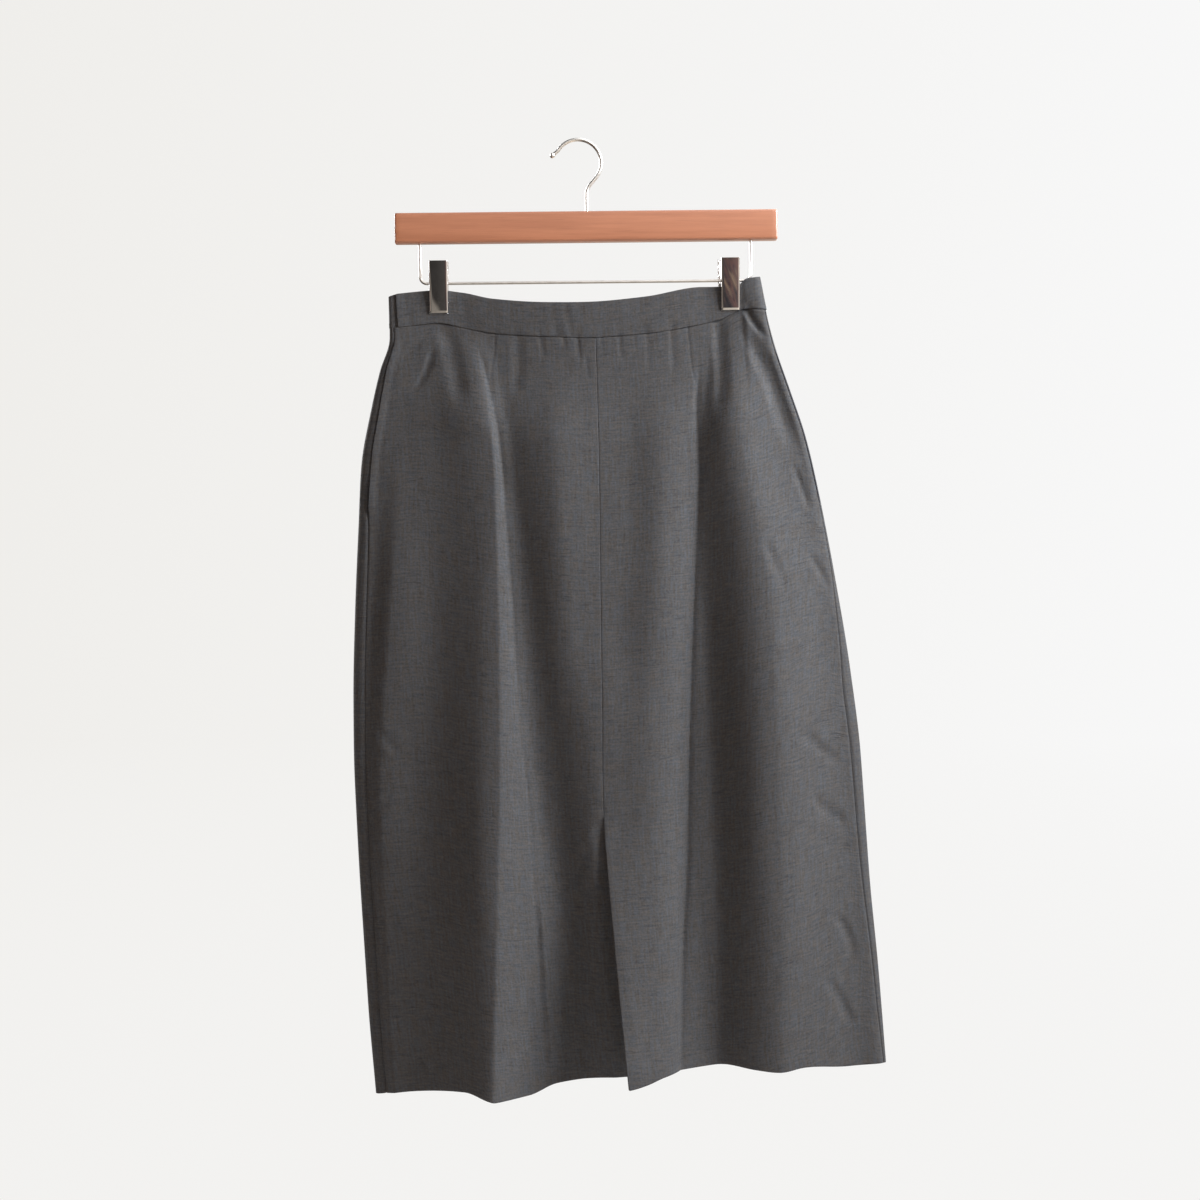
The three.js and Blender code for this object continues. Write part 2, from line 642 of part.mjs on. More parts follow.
// One jaw: a plate with rounded, folded sides, leaning out to its handle end and trimmed to the band.
function jaw(name, x, facing) {
  const { width, height, plate, flange, lean, corner } = CLIP;
  const half = width / 2;
  const section = new THREE.Shape();
  section.moveTo(-half, flange);
  section.absarc(-half + corner, corner, corner, Math.PI, Math.PI * 1.5, false);
  section.absarc(half - corner, corner, corner, Math.PI * 1.5, Math.PI * 2, false);
  section.lineTo(half, flange);
  section.lineTo(half - plate, flange);
  section.absarc(half - corner, corner, corner - plate, 0, -Math.PI / 2, true);
  section.absarc(-half + corner, corner, corner - plate, -Math.PI / 2, -Math.PI, true);
  section.lineTo(-half + plate, flange);
  section.closePath();
  const swept = { depth: height, bevelEnabled: false, curveSegments: 5 };
  const channel = new THREE.ExtrudeGeometry(section, swept);
  channel.rotateX(radians(lean));
  const bite = bandDepth('front', CLIP_AT.right) + GAP;  // where the jaw's foot meets the band
  channel.translate(0, -bite - plate * 1.25, CLIP.top - height);
  const trimDepth = 30;
  const trim = new THREE.BoxGeometry(width * 1.2, trimDepth, height * 1.4);
  trim.translate(0, trimDepth / 2 - bite, CLIP.top - height / 2);
  const geometry = toGeometry(toSolid(channel).subtract(toSolid(trim)));
  if (facing === 'back') geometry.rotateZ(Math.PI);
  geometry.translate(x, 0, 0);
  return named(name, geometry, chrome);
}

// The spring's coil, drawn as the sleeve that it fills round the frame wire.
function spring(name, x) {
  const { inner, outer, length } = SPRING;
  const profile = [[inner, -length / 2], [outer, -length / 2], [outer, length / 2], [inner, length / 2],
    [inner, -length / 2]].map(([radius, along]) => new THREE.Vector2(radius, along));
  const geometry = new THREE.LatheGeometry(profile, 16);
  geometry.rotateZ(Math.PI / 2);
  geometry.translate(x, 0, FRAME.level);
  return named(name, geometry, chrome);
}

// ---- assembly

const hanger = new THREE.Group();
hanger.rotation.y = -radians(HANGER_TILT);
hanger.add(hook(), bar(), frameWire());
for (const hand of ['left', 'right']) {
  hanger.add(jaw(`clip_${hand}_front`, CLIP_AT[hand], 'front'));
  hanger.add(jaw(`clip_${hand}_back`, CLIP_AT[hand], 'back'));
  hanger.add(spring(`clip_${hand}_spring`, CLIP_AT[hand]));
}

const skirt = new THREE.Group();
skirt.rotation.y = -radians(SKIRT_TILT);
skirt.position.set(SKIRT_AT.x, 0, SKIRT_AT.z);
skirt.add(frontLeft(), frontRight(), ventFacing(), backPanel());
skirt.add(waistbandFront(), waistbandBack(), pocket('left'), pocket('right'));

const object = new THREE.Group();
object.add(hanger, skirt);

export default object;
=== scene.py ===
# A charcoal a-line skirt with a front vent, clipped by its waistband to a wooden clip hanger.
# Lengths are in millimetres until toWorld() or onHanger() turns them into metres. The skirt has its
# own frame: "across" runs to the right, "down" runs from the waist, and it hangs a little askew.
import math

import bpy
import numpy as np
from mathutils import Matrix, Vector


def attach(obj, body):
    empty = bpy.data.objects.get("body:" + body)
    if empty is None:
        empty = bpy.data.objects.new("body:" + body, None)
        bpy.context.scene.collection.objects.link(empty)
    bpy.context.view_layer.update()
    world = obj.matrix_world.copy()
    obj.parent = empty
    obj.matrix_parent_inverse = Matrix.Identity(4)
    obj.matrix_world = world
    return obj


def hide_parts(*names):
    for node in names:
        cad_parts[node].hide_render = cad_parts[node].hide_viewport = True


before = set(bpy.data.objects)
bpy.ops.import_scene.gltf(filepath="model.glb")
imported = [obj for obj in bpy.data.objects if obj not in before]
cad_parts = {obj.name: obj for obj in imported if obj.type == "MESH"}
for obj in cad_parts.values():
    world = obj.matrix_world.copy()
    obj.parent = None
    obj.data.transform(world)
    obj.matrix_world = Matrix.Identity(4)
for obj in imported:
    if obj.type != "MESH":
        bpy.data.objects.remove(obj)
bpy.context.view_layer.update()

body = "root"
mm = 0.001
print("frame loaded:", len(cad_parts), "solids")

skirtHang = {"tilt": 3.8, "x": -1.2, "z": -137.0}
hangerHang = {"tilt": 0.6}


def ease(t):
    t = np.clip(t, 0, 1)
    return t * t * (3 - 2 * t)


def lerp(a, b, t):
    return a + (b - a) * t


def smooth(table, column, at, key="down"):
    # a smooth value from a table's columns, without overshoot between its rows
    x = np.asarray(table[key], float)
    y = np.asarray(table[column], float)
    slope = np.diff(y) / np.diff(x)
    product = slope[:-1] * slope[1:]
    turn = np.concatenate([slope[:1], np.zeros(len(product)), slope[-1:]])
    turn[1:-1][product > 0] = (2 * product / (slope[:-1] + slope[1:] + 1e-12))[product > 0]
    at = np.clip(np.asarray(at, float), x[0], x[-1])
    i = np.clip(np.searchsorted(x, at, side="right") - 1, 0, len(x) - 2)
    span = x[i + 1] - x[i]
    t = (at - x[i]) / span
    return (y[i] * (1 + 2 * t) * (1 - t) ** 2 + y[i + 1] * t * t * (3 - 2 * t)
            + span * (turn[i] * t * (1 - t) ** 2 - turn[i + 1] * t * t * (1 - t)))


def toWorld(across, depth, down):
    tilt = math.radians(skirtHang["tilt"])
    x = skirtHang["x"] + across * math.cos(tilt) + down * math.sin(tilt)
    z = skirtHang["z"] + across * math.sin(tilt) - down * math.cos(tilt)
    return np.stack(np.broadcast_arrays(x, depth, z), axis=-1) * mm


def onHanger(points):
    tilt = math.radians(hangerHang["tilt"])
    points = np.asarray(points, float)
    x = points[..., 0] * math.cos(tilt) - points[..., 2] * math.sin(tilt)
    z = points[..., 0] * math.sin(tilt) + points[..., 2] * math.cos(tilt)
    return np.stack([x, points[..., 1], z], axis=-1) * mm


def meshPiece(name, vertices, faces, material, cloth=None):
    # faces is an array of quads, or a list of polygons
    mesh = bpy.data.meshes.new(name)
    mesh.from_pydata(np.asarray(vertices).tolist(), [], [list(map(int, f)) for f in faces])
    mesh.polygons.foreach_set("use_smooth", [True] * len(mesh.polygons))
    mesh.materials.append(material)
    if cloth is not None:
        corners = np.zeros(len(mesh.loops), int)
        mesh.loops.foreach_get("vertex_index", corners)
        layer = mesh.uv_layers.new(name="clothMap")
        layer.data.foreach_set("uv", np.asarray(cloth)[corners].ravel())
    mesh.update()
    piece = bpy.data.objects.new(name, mesh)
    bpy.context.scene.collection.objects.link(piece)
    return piece


def roundEdges(piece, width, rounds=2, sharperThan=60):
    rim = piece.modifiers.new("rounded edges", "BEVEL")
    rim.width = width * mm
    rim.segments = rounds
    rim.limit_method = "ANGLE"
    rim.angle_limit = math.radians(sharperThan)
    return piece


def thicken(piece, thickness, edge, rounds=2):
    # gives a sheet its wall, grown inwards, and rounds its cut or folded edges
    wall = piece.modifiers.new("wall", "SOLIDIFY")
    wall.thickness = thickness * mm
    wall.offset = -1
    return roundEdges(piece, edge, rounds)


def gridQuads(rows, columns, facing):
    # quads over a grid of points; facing is -1 towards the viewer and 1 away
    number = np.arange(rows * columns).reshape(rows, columns)
    a, b, c, d = number[:-1, :-1], number[1:, :-1], number[1:, 1:], number[:-1, 1:]
    return np.stack([a, b, c, d] if facing < 0 else [a, d, c, b], axis=-1)


def finishPiece(piece, slot, *nodes):
    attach(piece, body)
    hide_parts(*nodes)
    return piece


# Materials

def newMaterial(name):
    material = bpy.data.materials.new(name)
    material.use_nodes = True
    tree = material.node_tree
    tree.nodes.clear()
    output = tree.nodes.new("ShaderNodeOutputMaterial")
    shader = tree.nodes.new("ShaderNodeBsdfPrincipled")
    tree.links.new(shader.outputs[0], output.inputs[0])
    return material, tree, shader


def connect(tree, made, inputs):
    # each input is a value, or another node's socket
    for key, value in inputs.items():
        if isinstance(value, bpy.types.NodeSocket):
            tree.links.new(value, made.inputs[key])
        else:
            made.inputs[key].default_value = value


def node(tree, kind, inputs=None, **settings):
    made = tree.nodes.new(kind)
    for key, value in settings.items():
        setattr(made, key, value)
    connect(tree, made, inputs or {})
    return made


def ramp(tree, factor, stops):
    # each stop is a place and its colour, or its grey as one number
    made = node(tree, "ShaderNodeValToRGB", {"Fac": factor})
    while len(made.color_ramp.elements) < len(stops):
        made.color_ramp.elements.new(0.5)
    for element, (at, colour) in zip(made.color_ramp.elements, stops):
        element.position = at
        element.color = (*colour, 1) if isinstance(colour, tuple) else (colour, colour, colour, 1)
    return made.outputs["Color"]


def noise(tree, vector, scale, detail=2.0, roughness=0.5):
    stretched = node(tree, "ShaderNodeMapping", {"Vector": vector, "Scale": scale}).outputs["Vector"]
    inputs = {"Vector": stretched, "Scale": 1.0, "Detail": detail, "Roughness": roughness}
    return node(tree, "ShaderNodeTexNoise", inputs).outputs["Fac"]


def compute(tree, operation, a, b, c=0.0):
    return node(tree, "ShaderNodeMath", {0: a, 1: b, 2: c}, operation=operation).outputs[0]


def plus(tree, a, b):
    return compute(tree, "ADD", a, b)


def minus(tree, a, b):
    return compute(tree, "SUBTRACT", a, b)


def times(tree, a, b):
    return compute(tree, "MULTIPLY", a, b)


def mixColour(tree, factor, a, b, blend="MIX"):
    made = node(tree, "ShaderNodeMix", data_type="RGBA", blend_type=blend)
    given = {("Factor", "VALUE"): factor, ("A", "RGBA"): a, ("B", "RGBA"): b}
    for socket in made.inputs:
        value = given.get((socket.name, socket.type))
        if isinstance(value, bpy.types.NodeSocket):
            tree.links.new(value, socket)
        elif value is not None:
            socket.default_value = (*value, 1) if socket.type == "RGBA" else value
    return next(s for s in made.outputs if s.type == "RGBA")


def bumped(tree, height, strength, distance):
    inputs = {"Height": height, "Strength": strength, "Distance": distance}
    return node(tree, "ShaderNodeBump", inputs).outputs["Normal"]


silk = {
    "dark": (0.050, 0.0445, 0.0405),
    "light": (0.100, 0.0955, 0.0900),
    "cool": (0.93, 0.99, 1.07),       # the warp threads catch the light a little bluer
    "warm": (1.08, 1.00, 0.92),       # and the weft a little browner
    "slub": (0.030, 0.0265, 0.0255),
    "slubShare": (0.675, 0.735),      # where the thick places begin; higher is fewer
    "slubCrowding": 0.35,
    "slubMix": 0.42,
    "slubRelief": 0.35,
    "roughness": (0.58, 0.74),
    # each set of threads: (across, down) counts per metre, and its share of the tone
    "weft": (75, 560, 0.27),
    "weftBands": (20, 150, 0.08),
    "warp": (520, 48, 0.24),
    "warpBands": (110, 8, 0.08),
    "grain": (430, 480, 0.33),
}


def clothMaterial():
    material, tree, shader = newMaterial("charcoalSlubSilk")
    place = node(tree, "ShaderNodeUVMap", uv_map="clothMap").outputs["UV"]
    layers = {}
    tone = 0.0
    for threads in ("weft", "weftBands", "warp", "warpBands", "grain"):
        across, down, share = silk[threads]
        layers[threads] = noise(tree, place, (across, down, 1), 3, 0.6)
        tone = plus(tree, times(tree, layers[threads], share), tone)
    base = ramp(tree, tone, [(0.36, silk["dark"]), (0.64, silk["light"])])
    lean = plus(tree, minus(tree, layers["warp"], layers["weft"]), 0.5)
    tint = ramp(tree, lean, [(0.34, silk["warm"]), (0.66, silk["cool"])])
    base = mixColour(tree, 1.0, base, tint, "MULTIPLY")
    # slubs: short thick places in the weft, few and far between, gathered here and there
    threadLine = noise(tree, place, (48, 950, 1), 1, 0.4)
    crowd = minus(tree, noise(tree, place, (11, 26, 1), 2), 0.5)
    chance = plus(tree, threadLine, times(tree, crowd, silk["slubCrowding"]))
    first, full = silk["slubShare"]
    slubs = ramp(tree, chance, [(first, 0.0), (full, 1.0)])
    relief = plus(tree, tone, times(tree, slubs, silk["slubRelief"]))
    low, high = silk["roughness"]
    connect(tree, shader, {
        "Base Color": mixColour(tree, times(tree, slubs, silk["slubMix"]), base, silk["slub"]),
        "Roughness": ramp(tree, tone, [(0.4, high), (0.6, low)]),
        "Normal": bumped(tree, relief, 0.5, 0.0008),
        "Specular IOR Level": 0.12,
        "Sheen Weight": 0.06,
        "Sheen Roughness": 0.40,
        "Sheen Tint": (0.86, 0.89, 1.0, 1),
    })
    return material


# the pocket bags' own dark cloth, also laid on the back in the right pocket's mouth as painted shade
pocketingAndShadeCloth = {"dark": (0.016, 0.014, 0.015), "light": (0.034, 0.031, 0.033), "threads": 1900}


def pocketingAndMouthShadeMaterial():
    material, tree, shader = newMaterial("darkPocketingAndMouthShade")
    place = node(tree, "ShaderNodeUVMap", uv_map="clothMap").outputs["UV"]
    warp = noise(tree, place, (pocketingAndShadeCloth["threads"], 60, 1), 2)
    weft = noise(tree, place, (60, pocketingAndShadeCloth["threads"], 1), 2)
    weave = times(tree, plus(tree, warp, weft), 0.5)
    connect(tree, shader, {
        "Base Color": ramp(tree, weave, [(0.35, pocketingAndShadeCloth["dark"]), (0.65, pocketingAndShadeCloth["light"])]),
        "Roughness": 0.85,
        "Normal": bumped(tree, weave, 0.3, 0.0002),
    })
    return material


stainedWood = {
    "dark": (0.375, 0.118, 0.043),
    "light": (0.50, 0.175, 0.074),
    "pore": (0.23, 0.066, 0.026),
    "grainAlong": 5.0,           # waves per metre along the bar
    "grainAcross": 150.0,
    "poresAcross": 1500.0,
    "poreMix": 0.30,
    "arris": 0.0022,             # how far in from an edge the colour darkens
    "edgeDarkMix": 0.25,
}


def woodMaterial():
    material, tree, shader = newMaterial("stainedWood")
    place = node(tree, "ShaderNodeTexCoord").outputs["Object"]
    along = stainedWood["grainAlong"]
    across = stainedWood["grainAcross"]
    pores = stainedWood["poresAcross"]
    wander = noise(tree, place, (along, across * 0.25, across * 0.25), 2)
    grain = noise(tree, place, (along * 1.6, across, across), 5, 0.62)
    fine = noise(tree, place, (along * 7, pores, pores), 2)
    tone = plus(tree, times(tree, grain, 0.62), times(tree, wander, 0.38))
    base = ramp(tree, tone, [(0.34, stainedWood["dark"]), (0.60, stainedWood["light"])])
    dots = ramp(tree, fine, [(0.60, 0.0), (0.72, 1.0)])
    colour = mixColour(tree, times(tree, dots, stainedWood["poreMix"]), base, stainedWood["pore"])
    # the colour is a little darker along the arrises
    edge = node(tree, "ShaderNodeBevel", {"Radius": stainedWood["arris"]}, samples=4).outputs[0]
    flat = node(tree, "ShaderNodeNewGeometry").outputs["Normal"]
    turn = node(tree, "ShaderNodeVectorMath", {0: edge, 1: flat}, operation="DOT_PRODUCT")
    edgeDarkening = ramp(tree, turn.outputs["Value"], [(0.90, 1.0), (0.995, 0.0)])
    connect(tree, shader, {
        "Base Color": mixColour(tree, times(tree, edgeDarkening, stainedWood["edgeDarkMix"]), colour, stainedWood["dark"]),
        "Roughness": ramp(tree, tone, [(0.3, 0.44), (0.7, 0.33)]),
        "Normal": bumped(tree, minus(tree, tone, times(tree, dots, 0.5)), 0.12, 0.0003),
        "Coat Weight": 1.0,
        "Coat Roughness": 0.26,
        "Coat IOR": 1.75,
    })
    return material


# The clips' plates are mirror bright and the drawn wire is softer: colour, cloudy colour, roughness.
plating = {
    "polishedChrome": ((0.80, 0.79, 0.78), (0.72, 0.70, 0.69), (0.015, 0.045)),
    "chromedWire": ((0.80, 0.77, 0.73), (0.74, 0.71, 0.67), (0.30, 0.38)),
}


def chromeMaterial(name):
    bright, cloudy, (low, high) = plating[name]
    material, tree, shader = newMaterial(name)
    place = node(tree, "ShaderNodeTexCoord").outputs["Object"]
    cloud = noise(tree, place, (140, 140, 90), 3)
    hair = noise(tree, place, (1600, 1600, 60), 2)
    mixed = plus(tree, times(tree, cloud, 0.7), times(tree, hair, 0.3))
    connect(tree, shader, {
        "Base Color": ramp(tree, cloud, [(0.35, cloudy), (0.6, bright)]),
        "Roughness": ramp(tree, mixed, [(0.35, low), (0.65, high)]),
        "Metallic": 1.0,
    })
    return material


cloth = clothMaterial()
pocketing = pocketingAndMouthShadeMaterial()
wood = woodMaterial()
chrome = chromeMaterial("polishedChrome")
brightWire = chromeMaterial("chromedWire")
print("materials made")

# The skirt's form

# Half widths of the flattened skirt and the depth of its side folds.
outline = {
    "down": [0, 35, 65, 100, 150, 205, 280, 370, 450, 560, 650, 735],
    "left": [175, 176.5, 187.5, 198, 210.5, 217, 225.2, 233, 236.8, 238, 238, 236.2],
    "right": [171.5, 176, 182, 191.5, 204.5, 213.5, 222.8, 231.6, 236, 236.6, 239.2, 240.4],
    "sideDepth": [4.4, 4.4, 4.6, 5.2, 6.0, 6.5, 6.5, 6.5, 6.5, 6.5, 6.5, 6.5],
}

# The waistband's top edge and the seam under it, and how far the band stands from the middle.
waist = {
    "across": [-176, -165, -132, -106, -78, -26, 20, 64, 113, 131, 150, 158, 176],
    "top": [-3.5, -6, -7, -3, 4.7, 11.6, 13.9, 12.2, 6.4, 7.2, 6.8, 1.8, 0],
    "seam": [25.5, 25.3, 23.8, 30.3, 37.3, 43.8, 47.5, 46.6, 41.3, 38, 30.6, 29.6, 31.3],
}
waistDepth = {
    "across": [-172, -152, -139, -118, -60, 0, 70, 131, 151, 157, 173],
    "front": [4.0, 2.8, 2.3, 2.3, 5.4, 7.0, 5.6, 2.3, 2.3, 4.3, 4.6],
    "back": [4.0, 2.8, 2.3, 2.3, 4.2, 5.0, 4.4, 2.3, 2.3, 4.3, 4.6],
}
hem = {
    "across": [-236, -200, -150, -120, -92, -66, -14, 0, 16, 34, 50, 88, 118, 142, 160, 205, 240],
    "front": [735, 732, 729.5, 738.5, 739, 733, 730.5, 734.5, 732.5, 728, 726.5, 726.5, 730.5, 733.5,
              732, 737, 737.5],
    "back": [735, 729, 728, 728, 728, 728, 728, 728, 728, 727.5, 727, 726, 727, 728, 728, 731, 738],
    "lapFrom": -14,       # right of this the underlap's hem runs level
}
centreSeam = {
    "down": [40, 150, 290, 380, 510, 610, 740],
    "across": [15.2, 11.0, 3.7, -1.0, -7.2, -5.0, -0.4],
}

# The large folds: where a crest runs, how far out it stands, how far it spreads each side, and how
# round its crown and its foot are on each side (1 is straight, more is rounder).
fullness = {"down": [60, 150, 290, 440, 590, 735], "out": [2, 6, 8, 9, 13, 8]}
frontRidges = {
    "left": {
        "down": [60, 150, 290, 440, 590, 735],
        "across": [-93, -87, -91, -99, -111, -124],
        "out": [5, 9, 17, 28, 39, 49],
        "toLeft": [80, 88, 104, 120, 122, 110],
        "toRight": [22, 22, 39, 60, 77, 86],
        "crown": (1.7, 1.3),
        "foot": (3.2, 2.5),
    },
    "centre": {
        "down": [60, 150, 290, 440, 590, 735],
        "across": [-20, -26, -23, -9, 4, 14],
        "out": [1, 10, 18, 18, 19, 14],
        "toLeft": [51, 56, 59, 62, 58, 59],
        "toRight": [127, 128, 113, 84, 56, 34],
        "crown": (1.9, 4.9),
        "foot": (1.75, 0.95),
    },
    "right": {
        "down": [60, 150, 290, 440, 590, 735],
        "across": [136, 141, 157, 155, 148, 139],
        "out": [10, 13, 22, 27, 26, 24],
        "toLeft": [16, 38, 62, 62, 60, 57],
        "toRight": [48, 59, 73, 81, 84, 84],
        "crown": (2.5, 1.6),
        "foot": (2.0, 2.4),
    },
}
backWaves = {"across": [-120, 5, 115], "out": [4.5, 3.0, 5.0], "spread": [70, 60, 75]}
vent = {"top": 510, "length": 221, "lap": 42, "lapAbove": 12, "behind": 3.4, "flare": 37, "reach": 84}
settle = 105           # how far below the waist the clipped shape opens into the full one
proud = 0.6            # the band stands this far in front of the panels
sideRound = 1.6        # a side fold's width over its depth


def crest(offset, toLeft, toRight):
    t = np.clip(np.where(offset < 0, -offset / toLeft, offset / toRight), 0, 1)
    return np.cos(t * np.pi / 2) ** 2


def ridgeShape(offset, toLeft, toRight, crown, foot):
    t = np.clip(np.where(offset < 0, -offset / toLeft, offset / toRight), 1e-6, 1)
    crown = np.where(offset < 0, crown[0], crown[1])
    foot = np.where(offset < 0, foot[0], foot[1])
    return (1 - t ** crown) ** foot


def halfWidth(hand, down):
    return smooth(outline, hand, down)


def seamUnderBand(across):
    return smooth(waist, "seam", across, "across")


def nearestHalfWidth(across, down):
    return np.where(across < 0, halfWidth("left", down), halfWidth("right", down))


def frontFolds(across, down):
    half = nearestHalfWidth(across, down)
    out = smooth(fullness, "out", down) * (1 - np.minimum(1, (across / half) ** 2))
    for ridge in frontRidges.values():
        offset = across - smooth(ridge, "across", down)
        shape = ridgeShape(offset, smooth(ridge, "toLeft", down), smooth(ridge, "toRight", down),
                           ridge["crown"], ridge["foot"])
        out = out + smooth(ridge, "out", down) * shape
    return out


def backFolds(across, down):
    out = 0 * across
    for at, high, spread in zip(*backWaves.values()):
        out = out + high * crest(across - at, spread, spread)
    return out * ease((down - 60) / 420)


def ventFlare(across, down):
    low = np.clip((down - vent["top"] + vent["lapAbove"]) / vent["length"], 0, 1)
    near = np.clip(1 - (across - smooth(centreSeam, "across", down)) / vent["reach"], 0, 1)
    return vent["flare"] * low ** 1.25 * near ** 1.2


def sideRoundness(down, fromEdge):
    # one on the flat, falling to nothing round the side fold's very edge
    t = 1 - np.clip(fromEdge / (sideRound * smooth(outline, "sideDepth", down)), 0, 1)
    return np.sqrt(np.maximum(1 - t * t, 0))


def restingDepth(face, across, down, rounding):
    # how far a face stands in front of (-) or behind (+) the hanger's plane, without its small creases
    opening = ease((down - seamUnderBand(across)) / settle)
    middle = 4 * ease((down - 40) / 220)
    atBand = smooth(waistDepth, face, across, "across") - proud
    depth = lerp(atBand, smooth(outline, "sideDepth", down), opening) * rounding
    if face == "back":
        return middle + depth + backFolds(across, down) * opening * rounding
    return middle - depth - frontFolds(across, down) * opening


# Creases pressed or pulled into the cloth. Each row: its run as (down, across) points, how deep it is
# (a ridge is negative), how wide to its left and right (or above and below), and its edge.
frontCreases = {
    "left dart": ([(20, -76), (54, -80), (75, -84), (96, -84)], 0.45, 2.2, 2.2, "sharp"),
    "left pull": ([(40, -97), (64, -91), (100, -85), (142, -80), (200, -78)], 1.6, 8, 8, "sharp"),
    "left pressed line": ([(90, -86), (142, -81), (213, -79), (306, -78), (400, -78), (478, -75), (571, -75),
                           (640, -76), (730, -78)], 1.1, 5, 6, "sharp"),
    "left pleat": ([(560, -70), (640, -70), (700, -70), (734, -70)], -2.6, 6, 22, "sharp"),
    "left second line": ([(590, -70), (640, -68), (680, -69), (716, -75)], 0.8, 6, 8, "sharp"),
    "right dart": ([(24, 99), (44, 101), (79, 102), (104, 107)], 0.45, 2.2, 2.2, "sharp"),
    "right pressed line": ([(70, 112), (118, 104), (174, 102), (228, 96), (292, 90), (355, 83), (398, 79),
                            (469, 73), (540, 67), (602, 59), (673, 51), (735, 48)], 1.5, 5, 7, "sharp"),
    "gather 1": ([(30, -58), (60, -58), (100, -63)], 0.9, 9, 10, "soft"),
    "gather 2": ([(32, -38), (50, -36), (64, -34)], 0.5, 4, 5, "soft"),
    "gather 3": ([(38, -15), (47, -15), (58, -14)], 0.4, 3, 4, "soft"),
    "gather 4": ([(36, -2), (54, -2), (70, -1)], 0.6, 4, 4, "soft"),
    "gather 5": ([(60, 4), (76, 5), (88, 6)], 0.35, 3, 4, "soft"),
    "gather 6": ([(38, 36), (56, 37), (73, 38)], 0.4, 4, 5, "soft"),
    "gather 7": ([(36, 63), (60, 63), (86, 62)], 0.35, 5, 5, "soft"),
    "gather 8": ([(30, 86), (60, 85), (90, 84)], 0.5, 4, 6, "soft"),
    "gather 9": ([(40, 20), (50, 20), (62, 21)], 0.25, 3, 3, "soft"),
    "gather 10": ([(38, 51), (50, 51), (58, 50)], 0.2, 3, 3, "soft"),
    "clip shadow left": ([(18, -128), (44, -121), (70, -117), (110, -113)], 1.8, 12, 13, "soft"),
    "clip hollow right": ([(22, 134), (44, 129), (80, 129), (135, 122)], 2.2, 8, 12, "soft"),
    "right pull 1": ([(6, 150), (22, 154), (40, 161), (62, 176)], 2.8, 5.5, 6, "soft"),
    "right pull 2": ([(44, 154), (70, 163), (94, 172), (170, 192)], 2.8, 11, 13, "soft"),
    "hip wrinkle 1": ([(57, -170), (54, -166), (44, -149), (42, -144)], 0.8, 4, 4, "soft"),
    "hip wrinkle 2": ([(44, -136), (60, -141), (76, -149), (90, -164)], 1.2, 5, 6, "soft"),
    "edge dent 1": ([(394, -216), (400, -208), (414, -196), (416, -190)], 1.0, 5, 6, "soft"),
    "edge dent 2": ([(417, -230), (419, -222), (424, -203), (424, -197)], 1.3, 4, 5, "soft"),
    "edge dent 3": ([(484, -229), (477, -221), (459, -202), (455, -198)], 1.2, 5, 5, "soft"),
    "edge dent 4": ([(476, -233), (479, -229), (484, -222), (486, -218)], 0.8, 3, 3, "soft"),
    "edge dent 5": ([(572, -212), (568, -204), (562, -194), (560, -188)], 0.7, 4, 5, "soft"),
    "hem wrinkle 1": ([(680, -200), (689, -195), (703, -189), (716, -181)], 0.9, 4, 4, "soft"),
    "hem wrinkle 2": ([(656, -231), (657, -224), (658, -213), (658, -208)], 0.6, 3, 3, "soft"),
    "right dent 1": ([(176, 189), (190, 194), (208, 199), (222, 204)], 1.6, 5, 6, "soft"),
    "right dent 2": ([(258, 197), (270, 204), (284, 212), (300, 219)], 1.5, 5, 5, "soft"),
    "right dent 3": ([(240, 156), (254, 161), (276, 168), (292, 172)], 1.0, 7, 8, "soft"),
    "right dent 4": ([(420, 176), (432, 188), (450, 206), (458, 214)], 2.0, 8, 8, "soft"),
    "right dent 5": ([(482, 184), (494, 193), (510, 214), (516, 221)], 1.9, 8, 8, "soft"),
    "right hook 1": ([(553, 196), (547, 203), (536, 215), (531, 222)], 1.6, 5, 4, "soft"),
    "right hook 2": ([(534, 212), (533, 219), (532, 228), (532, 232)], 1.2, 3, 3, "sharp"),
    "right dent 6": ([(590, 196), (604, 206), (622, 213), (640, 214)], 1.7, 7, 8, "soft"),
    "right dent 7": ([(650, 186), (668, 197), (690, 206), (704, 210)], 1.6, 8, 8, "soft"),
    "left shoulder": ([(110, -169), (180, -176), (242, -184), (350, -198), (464, -210), (630, -214),
                       (735, -216), (880, -216)], -7.5, 22, 68, "soft"),
    "left crown": ([(170, -104), (247, -109), (358, -116), (470, -124), (581, -131), (700, -139)],
                   -2.4, 46, 24, "soft"),
    "left of the clip's pull": ([(26, -106), (56, -103), (90, -100), (140, -98)], -3.6, 74, 26, "soft"),
    "middle hollow": ([(70, 43), (107, 41), (200, 32), (310, 18), (410, 12)], 5.6, 68, 42, "soft"),
    "vent pucker 1": ([(474, -18), (478, -13), (482, -7), (486, -3)], 0.9, 4, 4, "soft"),
    "vent pucker 2": ([(506, 0), (500, 8), (493, 18), (488, 28)], 0.9, 6, 6, "soft"),
    "vent pucker 3": ([(500, -14), (516, -22), (540, -34), (560, -40)], 0.8, 6, 7, "soft"),
}
